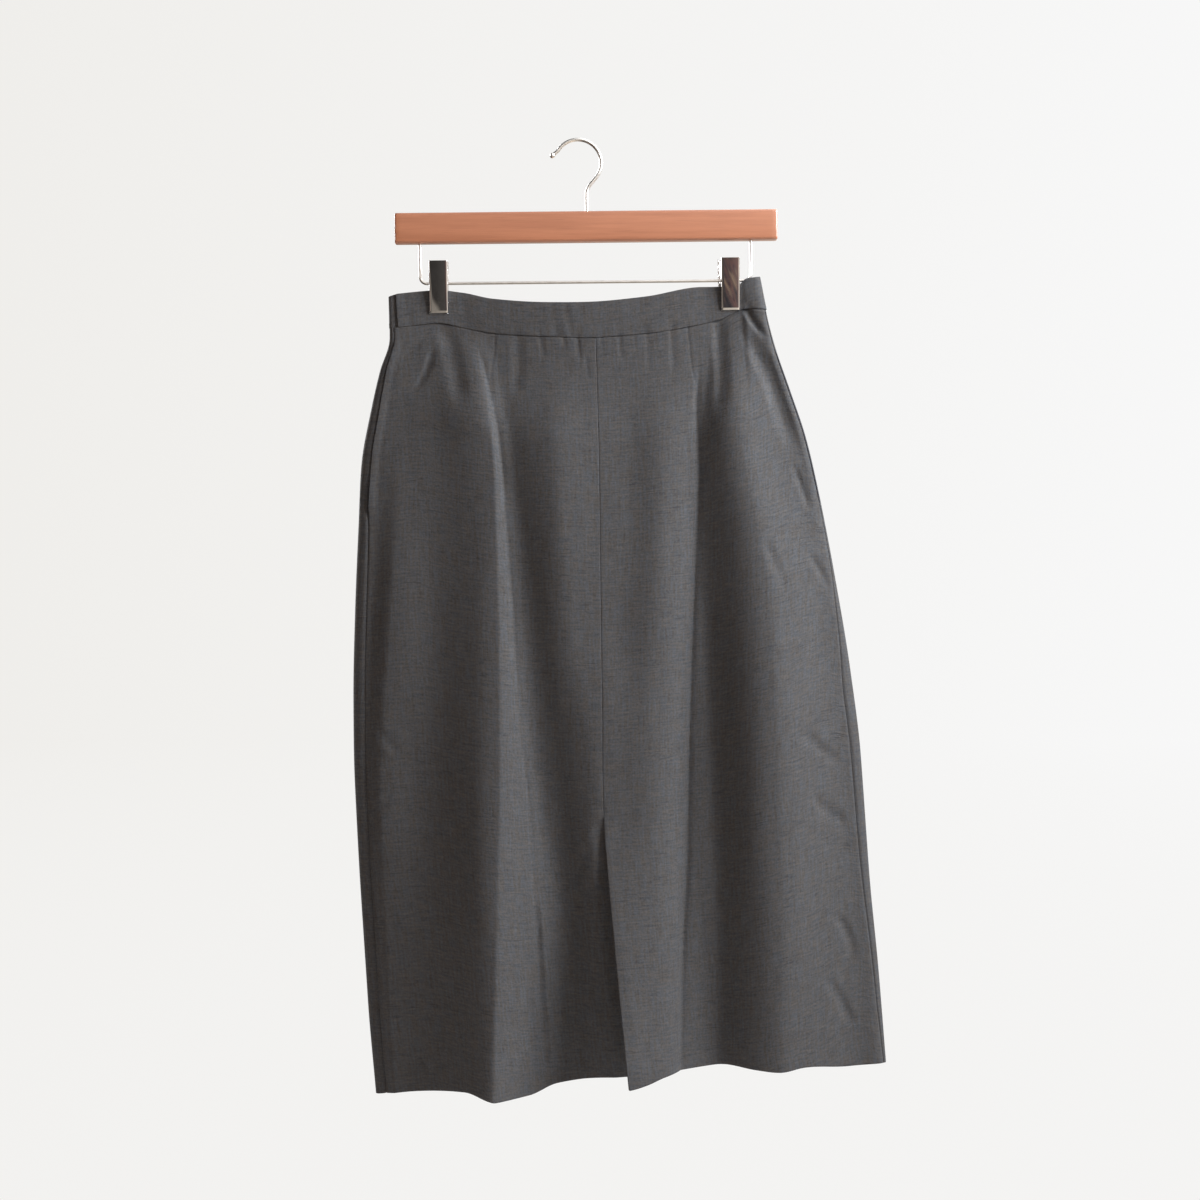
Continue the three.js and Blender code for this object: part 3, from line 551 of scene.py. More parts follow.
backCreases = {
    "left dart": ([(20, -84), (60, -86), (100, -88), (142, -90)], 1.0, 3.5, 3.5, "sharp"),
    "right dart": ([(20, 88), (60, 90), (96, 91), (138, 92)], 1.0, 3.5, 3.5, "sharp"),
    "left run": ([(130, -90), (240, -84), (380, -88), (540, -96), (690, -92)], 1.6, 16, 12, "soft"),
    "right run": ([(126, 92), (220, 96), (390, 88), (520, 84), (660, 90)], 1.4, 12, 15, "soft"),
    "middle run": ([(60, 8), (190, 4), (360, 10), (560, 2), (720, 6)], 1.3, 18, 14, "soft"),
    "far run": ([(240, -168), (380, -176), (520, -172), (660, -180)], 1.5, 16, 20, "soft"),
    "near run": ([(160, 160), (300, 170), (470, 166), (640, 176)], 1.5, 18, 14, "soft"),
    "gather 1": ([(30, -58), (58, -57), (84, -55)], 0.8, 5, 5, "soft"),
    "gather 2": ([(30, -31), (54, -30), (70, -30)], 0.6, 4, 5, "soft"),
    "gather 3": ([(30, 24), (60, 24), (88, 26)], 0.8, 5, 6, "soft"),
    "gather 4": ([(30, 52), (54, 52), (74, 54)], 0.7, 5, 5, "soft"),
    "pull 1": ([(24, -122), (60, -128), (96, -140), (150, -150)], 0.6, 9, 10, "soft"),
    "pull 2": ([(24, 132), (58, 138), (104, 150), (160, 158)], 0.8, 9, 10, "soft"),
    "dent 1": ([(330, 190), (342, 198), (352, 210), (356, 218)], 1.0, 5, 6, "soft"),
    "dent 2": ([(452, -214), (446, -204), (436, -192), (430, -184)], 1.1, 6, 6, "soft"),
    "dent 3": ([(604, 182), (618, 194), (640, 204), (656, 208)], 1.1, 7, 7, "soft"),
    "hem wrinkle": ([(672, -150), (690, -142), (712, -138), (724, -136)], 0.8, 5, 5, "soft"),
}


creaseFade = {"soft": 0.28, "sharp": 0.2, "sharpAtMost": 40}       # shares of a crease's length, then mm


def creaseDepth(creases, across, down):
    sink = np.zeros(np.broadcast(across, down).shape)
    for run, deep, before, after, edge in creases.values():
        upright = abs(run[-1][0] - run[0][0]) >= abs(run[-1][1] - run[0][1])
        run = sorted(run if upright else [point[::-1] for point in run])
        along, beside = (down, across) if upright else (across, down)
        path = {"along": [p[0] for p in run], "beside": [p[1] for p in run]}
        start, end = path["along"][0], path["along"][-1]
        lean = (path["beside"][-1] - path["beside"][0]) / (end - start)
        offset = (beside - smooth(path, "beside", along, "along")) / math.hypot(1, lean)
        fade = creaseFade[edge] * (end - start)
        if edge == "sharp":
            fade = min(fade, creaseFade["sharpAtMost"])
        strength = ease((along - start) / fade) * ease((end - along) / fade)
        t = np.clip(np.where(offset < 0, -offset / before, offset / after), 0, 1)
        profile = (1 - t) ** 2 if edge == "sharp" else np.cos(t * np.pi / 2) ** 2
        sink = sink + deep * strength * profile
    return sink


unevenness = {"waves": 12, "across": (34, 120), "down": (190, 520), "high": (0.04, 0.15),
              "frontSeed": 11, "backSeed": 23, "backMore": 1.6, "from": 60, "full": 60}


def undulation(across, down, seed):
    # the slight unevenness of hanging cloth, which the band holds flat at the top
    lots = np.random.default_rng(seed)
    out = np.zeros(np.broadcast(across, down).shape)
    for _ in range(unevenness["waves"]):
        wide = lots.uniform(*unevenness["across"])
        long = lots.uniform(*unevenness["down"]) * lots.choice([-1, 1])
        high = lots.uniform(*unevenness["high"])
        out = out + high * np.sin(2 * np.pi * (across / wide + down / long) + lots.uniform(0, 2 * np.pi))
    return out * ease((down - unevenness["from"]) / unevenness["full"])


# Sewing: seams, hems and pockets

clothWall = {"thick": 0.55, "edge": 0.2}           # one layer of the skirt's cloth
# The turned-up hem lies inside, and its edge prints through as a faint line.
hemTurn = {"deep": 35.0, "gap": 1.5, "print": 0.22, "printWide": 3.0}
tuck = {"up": 4.0, "sink": 1.2, "roll": 1.5}
groove = {"deep": 0.12, "wide": 1.2, "soft": 0.06, "softWide": 6.0, "gap": 0.02, "fold": 0.35,
          "ventFold": 0.65}

# How far in from the silhouette the side seams show on the front.
sideSeam = {
    "down": [25, 58, 93, 128, 160, 190, 216, 260, 330, 400, 466, 532, 600, 680, 735],
    "left": [4.0, 6.0, 8.0, 9.3, 9.8, 9.3, 10.8, 11.6, 11.8, 11.8, 11.6, 11.4, 11.2, 11.0, 10.8],
    "right": [1.2, 1.8, 2.0, 2.0, 2.0, 2.0, 1.9, 2.4, 6.4, 10.6, 10.0, 9.2, 7.0, 5.2, 3.0],
}
pocketMouth = {
    "left": {"from": 34, "to": 199, "lift": 0.8, "gapes": (158, 202)},
    "right": {"from": 66, "to": 214, "lift": 0.5},
}
# The front's pressed edge at the side, and how the back lies under it.
sideEdge = {"roll": 9, "pressedAt": 7.5, "deep": 0.45, "mouthWide": 2.2, "seamWide": 2.0,
            "under": 1.15, "backDeep": 0.35, "hollow": 2.6, "rightShare": 0.45, "slack": 0.3}
panel = {
    "sideTop": 25.5, "sideFoot": 735, "rightDrop": 3,      # levels at the sides
    "centreTop": 47, "centreFoot": 737,                    # levels at the centre seam
    "length": 693.0,
    "columns": 168, "lapColumns": 18,
    "backColumns": 190, "wrapColumns": 9, "cornerColumns": 9,
}


def mouthOpen(hand, down):
    mouth = pocketMouth[hand]
    return ease((down - mouth["from"]) / 10) * ease((mouth["to"] - down) / 14)


def pressed(distance, wide):
    # one on a line, and falling to nothing within its width
    return np.clip(1 - np.abs(distance) / wide, 0, 1) ** 2


def seamGroove(distance):
    sharp = groove["deep"] * pressed(distance, groove["wide"])
    return sharp + groove["soft"] * pressed(distance, groove["softWide"])


def sewnAbove(down):
    # one where the centre seam is sewn, nothing along the vent
    return 1 - ease((down - vent["top"] + 4) / 10)


def bandTuck(across, down):
    below = down - seamUnderBand(across)
    return tuck["sink"] * (1 - ease((below + tuck["roll"]) / (2 * tuck["roll"])))


def hemLevel(face, across):
    return smooth(hem, face, across, "across")


def hemPrint(face, across, down):
    above = hemLevel(face, across) - down
    return hemTurn["print"] * pressed(above - hemTurn["deep"], hemTurn["printWide"])


def sideLevel(hand, ts):
    t = np.clip(ts, 0, 1)
    level = lerp(panel["sideTop"], panel["sideFoot"], t)
    return (level + panel["rightDrop"] * t if hand == "right" else level)[:, None]


def centreAt(t):
    return smooth(centreSeam, "across", lerp(panel["centreTop"], panel["centreFoot"], t))


def panelRows():
    # row places as a share of the length under the band: close together at the band and at the hem
    length = panel["length"]
    top = np.array([-tuck["up"], -2.4, -1.1, -0.3, 0.5, 1.3, 2.3, 3.8])
    gathers = np.arange(6.2, 70, 2.9)
    middle = np.linspace(gathers[-1] + 4.4, length - hemTurn["deep"] - 6, 120)
    foot = np.linspace(length - hemTurn["deep"] - 3, length, 24)
    return np.concatenate([top, gathers, middle, foot]) / length


def surfaceNormals(points, facing):
    along = np.gradient(points, axis=1)
    down = np.gradient(points, axis=0)
    square = np.cross(down, along) * facing
    return square / np.linalg.norm(square, axis=-1, keepdims=True)


def foldHem(points, facing):
    # carries a panel's rows round the hem's fold and up inside it
    square = surfaceNormals(points, facing)
    radius = hemTurn["gap"] / 2
    last = points[-1]
    fall = points[-1] - points[-2]
    fall = fall / np.linalg.norm(fall, axis=-1, keepdims=True)
    rows = [points]
    for angle in np.radians([30, 60, 90, 120, 150]):
        turned = last - square[-1] * radius * (1 - math.cos(angle)) + fall * radius * math.sin(angle)
        rows.append(turned[None])
    inside = points[::-1][1:24:2] - square[::-1][1:24:2] * hemTurn["gap"]
    rows.append((last - square[-1] * hemTurn["gap"])[None])
    rows.append(inside)
    return np.concatenate(rows)


def sewnPanel(name, points, facing, material, middle, keep=None, marked=None):
    # points[row, column] lie on the outside, in the skirt's own frame (across, depth, down)
    rows, columns = points.shape[:2]
    steps = np.linalg.norm(np.diff(points, axis=1), axis=-1)
    sideways = np.concatenate([np.zeros((rows, 1)), np.cumsum(steps, axis=1)], axis=1)
    sideways = sideways - sideways[:, middle:middle + 1]
    falls = np.linalg.norm(np.diff(points, axis=0), axis=-1)
    length = np.concatenate([np.zeros((1, columns)), np.cumsum(falls, axis=0)], axis=0)
    place = np.stack([sideways, -length], axis=-1) * mm
    quads = gridQuads(rows, columns, facing)
    kept = np.ones(quads.shape[:2], bool) if keep is None else keep(rows - 1, columns - 1)
    faces = quads[kept]
    used = np.unique(faces)
    renumber = np.zeros(rows * columns, int)
    renumber[used] = np.arange(len(used))
    world = toWorld(points[..., 0], points[..., 1], points[..., 2]).reshape(-1, 3)[used]
    piece = meshPiece(name, world, renumber[faces], material, place.reshape(-1, 2)[used])
    # a second material on the marked faces: the back's painted shade in the right pocket's mouth
    if marked is not None:
        mouthShadeFaces, second = marked
        piece.data.materials.append(second)
        piece.data.polygons.foreach_set("material_index", mouthShadeFaces[kept].astype(int))
    return piece


def frontColumns(hand, ts):
    # for every row the silhouette, and how far in from it the side seam and the first columns lie
    level = sideLevel(hand, ts)
    start = smooth(sideSeam, hand, level)
    near = start + np.array([0, 0.5, 1.2, 2.2, 3.6, 5.4, 7.6, 10.4])[None]
    return halfWidth(hand, level), start, near


def frontDepth(hand, across, down, fromEdge, start):
    rounding = sideRoundness(down, fromEdge)
    depth = restingDepth("front", across, down, rounding)
    depth = depth + creaseDepth(frontCreases, across, down) * ease((fromEdge - start + 3) / 12)
    depth = depth - undulation(across, down, unevenness["frontSeed"])
    depth = depth + bandTuck(across, down)
    inward = fromEdge - start
    mouth = mouthOpen(hand, down)
    depth = depth - pocketMouth[hand]["lift"] * mouth * (1 - ease(inward / sideEdge["roll"]))
    mouthLine = pressed(inward - sideEdge["pressedAt"], sideEdge["mouthWide"])
    depth = depth + sideEdge["deep"] * mouth * mouthLine
    depth = depth + sideEdge["deep"] * (1 - mouth) * pressed(inward, sideEdge["seamWide"])
    return depth - hemPrint("front", across, down)


def leftFront():
    ts = panelRows()
    edge, start, near = frontColumns("left", ts)
    t = np.clip(ts, None, 1)[:, None]
    centre = centreAt(t) - groove["gap"]
    share = np.linspace(0, 1, panel["columns"] + 1)[1:][None]
    flat = lerp(-(edge - near[:, -1:]), centre, share)
    lap = centre + vent["lap"] * np.linspace(0, 1, panel["lapColumns"] + 1)[1:][None]
    across = np.concatenate([-(edge - near), flat, lap], axis=1)
    seam = seamUnderBand(across)
    down = lerp(seam, hemLevel("front", np.minimum(across, hem["lapFrom"])), t)
    depth = frontDepth("left", across, down, across + edge, start)
    toSeam = across - centre
    depth = depth + seamGroove(toSeam) * sewnAbove(down) * (toSeam <= 0)
    depth = depth + vent["behind"] * ease((down - vent["top"] + 26) / 24) * ease((toSeam + 14) / 14)
    points = foldHem(np.stack([across, depth, down], axis=-1), -1)
    last = near.shape[1] + panel["columns"] - 1
    lapTop = vent["top"] - vent["lapAbove"] - panel["centreTop"]
    firstLapRow = int(np.searchsorted(ts, lapTop / (panel["centreFoot"] - panel["centreTop"])))

    def keep(rows, columns):
        row, column = np.mgrid[0:rows, 0:columns]
        return (column < last) | (row >= firstLapRow)

    return sewnPanel("skirtLeftFront", points, -1, cloth, last, keep)


def rightFront():
    ts = panelRows()
    edge, start, near = frontColumns("right", ts)
    t = np.clip(ts, None, 1)[:, None]
    centre = centreAt(t) + groove["gap"]
    share = np.linspace(0, 1, panel["columns"] + 1)[:-1][None]
    flat = lerp(centre, edge - near[:, -1:], share)
    across = np.concatenate([flat, edge - near[:, ::-1]], axis=1)
    down = lerp(seamUnderBand(across), hemLevel("front", across), t)
    depth = frontDepth("right", across, down, edge - across, start)
    depth = depth + seamGroove(across - centre) * sewnAbove(down) - ventFlare(across, down)
    points = np.stack([across, depth, down], axis=-1)
    # the centre edge turns back behind the panel: a pressed seam allowance, then the vent's folded edge
    square = surfaceNormals(points, -1)
    outwards = points[:, :1] - points[:, 4:5]
    outwards = outwards / np.linalg.norm(outwards, axis=-1, keepdims=True)
    radius = lerp(groove["fold"], groove["ventFold"], ease((down[:, :1] - vent["top"]) / 30))[..., None]
    points[:, :1] = points[:, :1] - outwards * radius
    folded = [points[:, i:i + 1] - square[:, i:i + 1] * 2 * radius for i in (5, 4, 3, 2, 1)]
    for angle in np.radians([150, 120, 90, 60, 30]):
        turned = outwards * radius * math.sin(angle) - square[:, :1] * radius * (1 - math.cos(angle))
        folded.append(points[:, :1] + turned)
    wrapped = np.concatenate(folded + [points], axis=1)
    outer = wrapped.shape[0]
    columnsFolded = len(folded)
    points = foldHem(wrapped, -1)

    def keep(rows, columns):
        row, column = np.mgrid[0:rows, 0:columns]
        return (column >= columnsFolded) | (row < outer - 1)

    return sewnPanel("skirtRightFront", points, -1, cloth, columnsFolded, keep)


facing = {"from": 30.0, "foot": 732, "wide": 46.0, "short": 4.0, "behind": 1.5, "atHem": 2.7,
          "hemFrom": 685, "edge": 2.0, "columns": 25}


def ventFacing():
    t = np.concatenate([np.linspace(0, 0.86, 40), np.linspace(0.875, 1, 10)])[:, None]
    top = vent["top"] + facing["from"]
    centre = smooth(centreSeam, "across", lerp(top, facing["foot"], t))
    share = np.linspace(0, 1, facing["columns"] + 1)[None]
    across = centre + lerp(facing["edge"], facing["wide"], share)
    down = lerp(top, hemLevel("front", across) - facing["short"], t)
    edge = halfWidth("right", down)
    depth = frontDepth("right", across, down, edge - across, 2.0) - ventFlare(across, down)
    depth = depth + seamGroove(across - centre) * sewnAbove(down)
    points = np.stack([across, depth, down], axis=-1)
    behind = lerp(facing["behind"], facing["atHem"], ease((down - facing["hemFrom"]) / 20))
    points = points - surfaceNormals(points, -1) * behind[..., None]
    return sewnPanel("ventFacing", points, -1, cloth, 0)


def backAcross(hand, ts):
    # tucked columns under the front, then round the side fold to the back, for one side
    level = sideLevel(hand, ts)
    start = smooth(sideSeam, hand, level)
    under = start + np.array([3.6, 1.8, 0.7])[None]
    quarter = np.linspace(0, 1, panel["wrapColumns"] + 1)[:-1][None]
    front = start * (1 - np.sin(quarter * np.pi / 2))
    fold = sideRound * smooth(outline, "sideDepth", level)
    turn = np.linspace(90, 0, panel["cornerColumns"] + 1)[None]
    behind = fold * (1 - np.sin(np.radians(turn)))
    fromEdge = np.concatenate([under, front, behind], axis=1)
    onFront = np.arange(fromEdge.shape[1])[None] < under.shape[1] + front.shape[1]
    return halfWidth(hand, level), fromEdge, onFront, start


def back():
    ts = panelRows()
    t = np.clip(ts, None, 1)[:, None]
    sides = {}
    for hand in ("left", "right"):
        edge, fromEdge, onFront, start = backAcross(hand, ts)
        across = (edge - fromEdge) * (-1 if hand == "left" else 1)
        downFront = lerp(seamUnderBand(across), hemLevel("front", across), t)
        downBack = lerp(seamUnderBand(across), hemLevel("back", across), t)
        down = np.where(onFront, downFront, downBack)
        rounding = sideRoundness(down, fromEdge)
        frontSide = restingDepth("front", across, down, rounding)
        backSide = restingDepth("back", across, down, rounding)
        under = ease((fromEdge - start + 1.0) / 1.6) * onFront
        mouth = mouthOpen(hand, down)
        inMouth = onFront * np.clip(fromEdge / start, 0, 1) ** 1.5
        hollow = mouth * sideEdge["rightShare"]
        if hand == "left":
            first, last = pocketMouth["left"]["gapes"]
            hollow = ease((down - first) / 20) * ease((last - down) / 12)
        depth = np.where(onFront, frontSide, backSide)
        depth = depth + sideEdge["under"] * under
        depth = depth + inMouth * (sideEdge["slack"] * mouth + sideEdge["hollow"] * hollow)
        seam = onFront * (1 - mouth) * pressed(fromEdge - start, sideEdge["seamWide"])
        depth = depth + sideEdge["backDeep"] * seam
        sides[hand] = (across, depth, down, onFront)
    share = np.linspace(0, 1, panel["backColumns"] + 1)[1:-1][None]
    across = lerp(sides["left"][0][:, -1:], sides["right"][0][:, -1:], share)
    down = lerp(seamUnderBand(across), hemLevel("back", across), t)
    edge = nearestHalfWidth(across, down)
    depth = restingDepth("back", across, down, sideRoundness(down, edge - np.abs(across)))
    calm = ease((edge - np.abs(across) - 6) / 14)
    depth = depth - creaseDepth(backCreases, across, down) * calm
    depth = depth + undulation(across, down, unevenness["backSeed"]) * unevenness["backMore"] * calm
    depth = depth + hemPrint("back", across, down) - bandTuck(across, down)
    parts = []
    for hand, order in (("left", 1), ("right", -1)):
        sideAcross, sideDepth, sideDown, onFront = sides[hand]
        sideDepth = sideDepth + bandTuck(sideAcross, sideDown) * np.where(onFront, 1, -1)
        parts.append(np.stack([sideAcross, sideDepth, sideDown], axis=-1)[:, ::order])
    parts.insert(1, np.stack([across, depth, down], axis=-1))
    points = foldHem(np.concatenate(parts, axis=1), 1)
    # inside the right pocket's mouth a strip of the back gets the dark pocketing: partly the real lining,
    # partly painted shade in the mouth along the silhouette
    rows, columns = points.shape[0] - 1, points.shape[1] - 1
    row, column = np.mgrid[0:rows, 0:columns]
    level = points[:-1, :-1, 2]
    mouth = pocketMouth["right"]
    mouthShadeFaces = (column >= columns - panel["wrapColumns"] - 3) & (level > mouth["from"] + 6)
    mouthShadeFaces = mouthShadeFaces & (level < mouth["to"] - 4) & (row < len(ts) - 1)
    return sewnPanel("skirtBack", points, 1, cloth, points.shape[1] // 2, None, (mouthShadeFaces, pocketing))


# The bag's top and foot are counted in 28ths of the panel's length.
pocketBag = {"share": 8 / 15, "leftTop": 1.5, "rightTop": 2.3, "foot": 10.5, "rounding": 3.0,
             "partsInPanel": 28, "behindAtBand": 1.5, "behind": 3.6, "wall": 1.3, "edge": 0.5,
             "fill": 0.6, "creased": 0.5, "columns": 43, "rows": 65}


def pocket(hand):
    q = np.linspace(0, 1, pocketBag["columns"] + 1)[None]
    r = np.linspace(0, 1, pocketBag["rows"] + 1)[:, None]
    foot = pocketBag["foot"] - pocketBag["rounding"] * q ** 3
    t = lerp(pocketBag[hand + "Top"], foot, r) / pocketBag["partsInPanel"]
    level = lerp(panel["sideTop"], panel["sideFoot"], t)
    edge = halfWidth(hand, level)
    side = sideRound * smooth(outline, "sideDepth", level)
    outer = -(edge - side) if hand == "left" else edge - side
    across = lerp(outer, centreAt(t), q * pocketBag["share"])
    down = lerp(seamUnderBand(across), hemLevel("front", across), t)
    depth = restingDepth("front", across, down, 1.0)
    depth = depth + creaseDepth(frontCreases, across, down) * pocketBag["creased"]
    if hand == "right":
        across, down, depth = across[:, ::-1], down[:, ::-1], depth[:, ::-1]
    points = np.stack([across, depth, down], axis=-1)
    ripple = pocketBag["fill"] * np.sin(across / 19 + down / 43) * np.sin(down / 31)
    behind = lerp(pocketBag["behindAtBand"], pocketBag["behind"], ease((down - 70) / 70)) + ripple * 0.4
    points = points - surfaceNormals(points, -1) * behind[..., None]
    return sewnPanel("pocketBag" + hand.capitalize(), points, -1, pocketing, 0)


for made, nodeName in ((leftFront(), "front_left"), (rightFront(), "front_right"),
                       (ventFacing(), "vent_facing"), (back(), "back")):
    thicken(made, clothWall["thick"], clothWall["edge"])
    finishPiece(made, "cloth", nodeName)
for hand in ("left", "right"):
    bag = thicken(pocket(hand), pocketBag["wall"], pocketBag["edge"])
    finishPiece(bag, "pocketing", "pocket_" + hand)
print("panels, facing and pocket bags sewn")

# Waistband

band = {"wall": 1.8, "edge": 0.75, "leftEnd": -168.0, "leftTurn": 128.0, "rightTurn": 98.0,
        "rightGap": 0.4, "sideDeep": 32.0, "rows": 15, "columns": 221, "crown": 0.35,
        "creased": 0.8, "backRipple": -0.7, "gripHalf": 11, "gripFade": 12}
# The back strip carries on behind the front one's left end: to where, and how far behind it.
underlap = {"to": -157.0, "tuckedIn": 2.0, "behind": (2.2, 1.5), "columns": 8}
clipAt = {"left": -130.5, "right": 140.7, "rightBackSlip": -2.4}
# Soft upright ripples in the band where it sags.
bandRipples = {
    "across": [-158, -106, -88, -61, -44, -22, -9, 24, 41, 58, 84, 104, 121, 164],
    "deep": [0.4, 0.35, -0.2, 0.15, -0.15, 0.3, 0.45, 0.15, -0.2, 0.25, 0.2, -0.2, 0.35, -0.3],
    "wide": [7, 9, 12, 8, 9, 6, 5, 7, 9, 7, 8, 10, 7, 6],
}


def bandRipple(across, t):
    out = np.zeros(np.broadcast(across, t).shape)
    for at, deep, wide in zip(*bandRipples.values()):
        out = out + deep * crest(across - at - 4 * (t - 0.5), wide, wide) * (0.55 + 0.45 * t)
    return out


def bandShape(face, across, t, rounding, ripple=1.0):
    down = lerp(smooth(waist, "top", across, "across"), seamUnderBand(across) - 0.05, t)
    depth = smooth(waistDepth, face, across, "across") * rounding
    crown = band["crown"] * (np.sin(np.pi * t) - 0.6)
    grip = np.minimum(np.abs(across - clipAt["left"]), np.abs(across - clipAt["right"]))
    loose = ease((grip - band["gripHalf"]) / band["gripFade"])
    depth = depth + (crown - bandRipple(across, t) * ripple) * loose * rounding
    creased = creaseDepth(frontCreases, across, down) * ease((t - 0.1) / 0.9) * loose * band["creased"]
    if face == "front":
        return np.stack(np.broadcast_arrays(across, -depth + creased, down), axis=-1)
    return np.stack(np.broadcast_arrays(across, depth, down), axis=-1)


def sideTurn(hand, t, turn):
    level = band["sideDeep"] * t
    fold = sideRound * smooth(outline, "sideDepth", level)
    across = halfWidth(hand, level) - fold * (1 - np.sin(np.radians(turn)))
    return -across if hand == "left" else across


def frontBand():
    t = np.linspace(0, 1, band["rows"])[:, None]
    end = sideTurn("right", t, 180)
    flat = lerp(band["leftEnd"], end, np.linspace(0, 1, band["columns"])[None])
    turns = np.linspace(180, band["rightTurn"] + band["rightGap"], 10)[1:][None]
    corner = sideTurn("right", t, turns)
    across = np.concatenate([flat, corner], axis=1)
    rounding = np.concatenate([np.ones_like(flat), np.abs(np.cos(np.radians(turns))) + 0 * t], axis=1)
    return sewnPanel("waistbandFront", bandShape("front", across, t, rounding), -1, cloth, 0)


def backBand():
    t = np.linspace(0, 1, band["rows"])[:, None]
    share = np.linspace(0, 1, underlap["columns"])[None]
    under = lerp(underlap["to"], sideTurn("left", t, band["leftTurn"]) + underlap["tuckedIn"], share)
    lapped = bandShape("front", under, t, 1.0)
    lapped[..., 1] = lapped[..., 1] + lerp(*underlap["behind"], share)
    turns = np.linspace(band["leftTurn"], 0, 15)[None]
    left = bandShape("back", sideTurn("left", t, turns), t, np.cos(np.radians(turns)) + 0 * t)
    share = np.linspace(0, 1, band["columns"] + 1)[1:-1][None]
    across = lerp(sideTurn("left", t, 0), sideTurn("right", t, 0), share)
    middle = bandShape("back", across, t, 1.0, band["backRipple"])
    turns = np.linspace(0, band["rightTurn"] - band["rightGap"], 12)[None]
    right = bandShape("back", sideTurn("right", t, turns), t, np.cos(np.radians(turns)) + 0 * t)
    points = np.concatenate([lapped, left, middle, right], axis=1)
    return sewnPanel("waistbandBack", points, 1, cloth, points.shape[1] // 2)


for made, nodeName in ((frontBand(), "waistband_front"), (backBand(), "waistband_back")):
    thicken(made, band["wall"], band["edge"], 3)
    finishPiece(made, "cloth", nodeName)
print("waistband sewn")

# Hanger

bar = {"length": 355.6, "depth": 13.0, "height": 28.4, "top": -65.6, "centre": 7.0, "corner": 2.6, "end": 1.4,
       "arris": 0.5}
hook = {"wire": 1.7, "bend": 21.7, "stem": 7.8, "tip": 148, "leave": -40, "counter": 14.0, "bead": 2.5,
        "seat": 14.0, "endTurn": (-5.2, 0, -4.4)}
wire = {"radius": 1.4, "left": -147.8, "right": 160.1, "level": -131.0, "bend": 6.5, "seat": 11.0}
clip = {"width": 17.3, "height": 48.5, "top": -110.5, "plate": 0.95, "flange": 4.6, "lean": 6.6,
        "corner": 1.2, "bite": 2.6, "lip": 1.25, "crown": 0.12, "bow": 0.10}
coil = {"radius": 2.95, "wire": 0.55, "turns": 7, "length": 10.4, "legOut": 3.4, "legUp": 6.6}


def arc(x, z, radius, start, end, steps):
    angles = np.radians(np.linspace(start, end, steps))
    return np.stack([x + radius * np.cos(angles), 0 * angles, z + radius * np.sin(angles)], axis=-1)


def straight(a, b, steps):
    share = np.linspace(0, 1, steps)[:, None]
    return lerp(np.asarray(a, float), np.asarray(b, float), share)


def joined(*parts):
    # one run of points, without the doubled ones where parts meet
    points = np.concatenate(parts)
    apart = np.linalg.norm(np.diff(points, axis=0), axis=-1) > 1e-4
    return points[np.concatenate([[True], apart])]


def tubeFaces(count, sides):
    # quads round a run of rings, closed by a face at each end
    number = np.arange(count * sides).reshape(count, sides)
    onward = np.roll(number, -1, axis=1)
    quads = np.stack([number[:-1], onward[:-1], onward[1:], number[1:]], axis=-1).reshape(-1, 4)
    return [list(q) for q in quads] + [list(number[0][::-1]), list(number[-1])]


def roundWire(points, radius, sides=20, bead=0.0):
    # a wire along points, with domed ends; a bead swells its first end
    points = np.asarray(points, float)
    tangent = np.gradient(points, axis=0)
    tangent = tangent / np.linalg.norm(tangent, axis=1, keepdims=True)
    side = np.zeros_like(points)
    guide = np.array([0.0, 1.0, 0.0])
    for i, t in enumerate(tangent):
        guide = guide - t * guide.dot(t)
        guide = guide / np.linalg.norm(guide)
        side[i] = guide
    up = np.cross(tangent, side)
    around = np.linspace(0, 2 * np.pi, sides, endpoint=False)
    ring = np.cos(around)[None, :, None] * side[:, None] + np.sin(around)[None, :, None] * up[:, None]
    head = bead or radius
    neck = 180 - math.degrees(math.asin(radius / bead)) if bead else 80
    domeIn = np.radians(np.linspace(4, neck, 14 if bead else 5))
    domeOut = np.radians(np.linspace(80, 4, 5))
    past = math.sqrt(bead ** 2 - radius ** 2) if bead else 0.0
    run = np.linalg.norm(points - points[0], axis=1) >= past
    centres = np.concatenate([points[:1] - tangent[:1] * head * np.cos(domeIn)[:, None], points[run],
                              points[-1:] + tangent[-1:] * radius * np.cos(domeOut)[:, None]])
    radii = np.concatenate([head * np.sin(domeIn), np.full(run.sum(), radius), radius * np.sin(domeOut)])
    rings = np.concatenate([np.repeat(ring[:1], len(domeIn), axis=0), ring[run],
                            np.repeat(ring[-1:], len(domeOut), axis=0)])
    shell = centres[:, None] + rings * radii[:, None, None]
    return shell.reshape(-1, 3), tubeFaces(len(shell), sides)


def hookPoints():
    centre = -(hook["bend"] - hook["wire"])
    turn = math.radians(hook["leave"])
    leave = np.array([hook["bend"] * math.cos(turn), 0, centre + hook["bend"] * math.sin(turn)])
    lean = -turn
    bendX = hook["stem"] + hook["counter"]
    meetX = bendX - hook["counter"] * math.cos(lean)
    meetZ = leave[2] - (leave[0] - meetX) / math.tan(lean)
    bendZ = meetZ - hook["counter"] * math.sin(lean)
    start = math.radians(hook["tip"])
    neck = np.array([hook["bend"] * math.cos(start), 0, centre + hook["bend"] * math.sin(start)])
    return joined(
        straight(neck + np.array(hook["endTurn"]), neck, 8),
        arc(0, centre, hook["bend"], hook["tip"], hook["leave"], 72),
        straight(leave, (meetX, 0, meetZ), 16),
        arc(bendX, bendZ, hook["counter"], 180 + hook["leave"], 180, 18),
        straight((hook["stem"], 0, bendZ), (hook["stem"], 0, bar["top"] - hook["seat"]), 12))


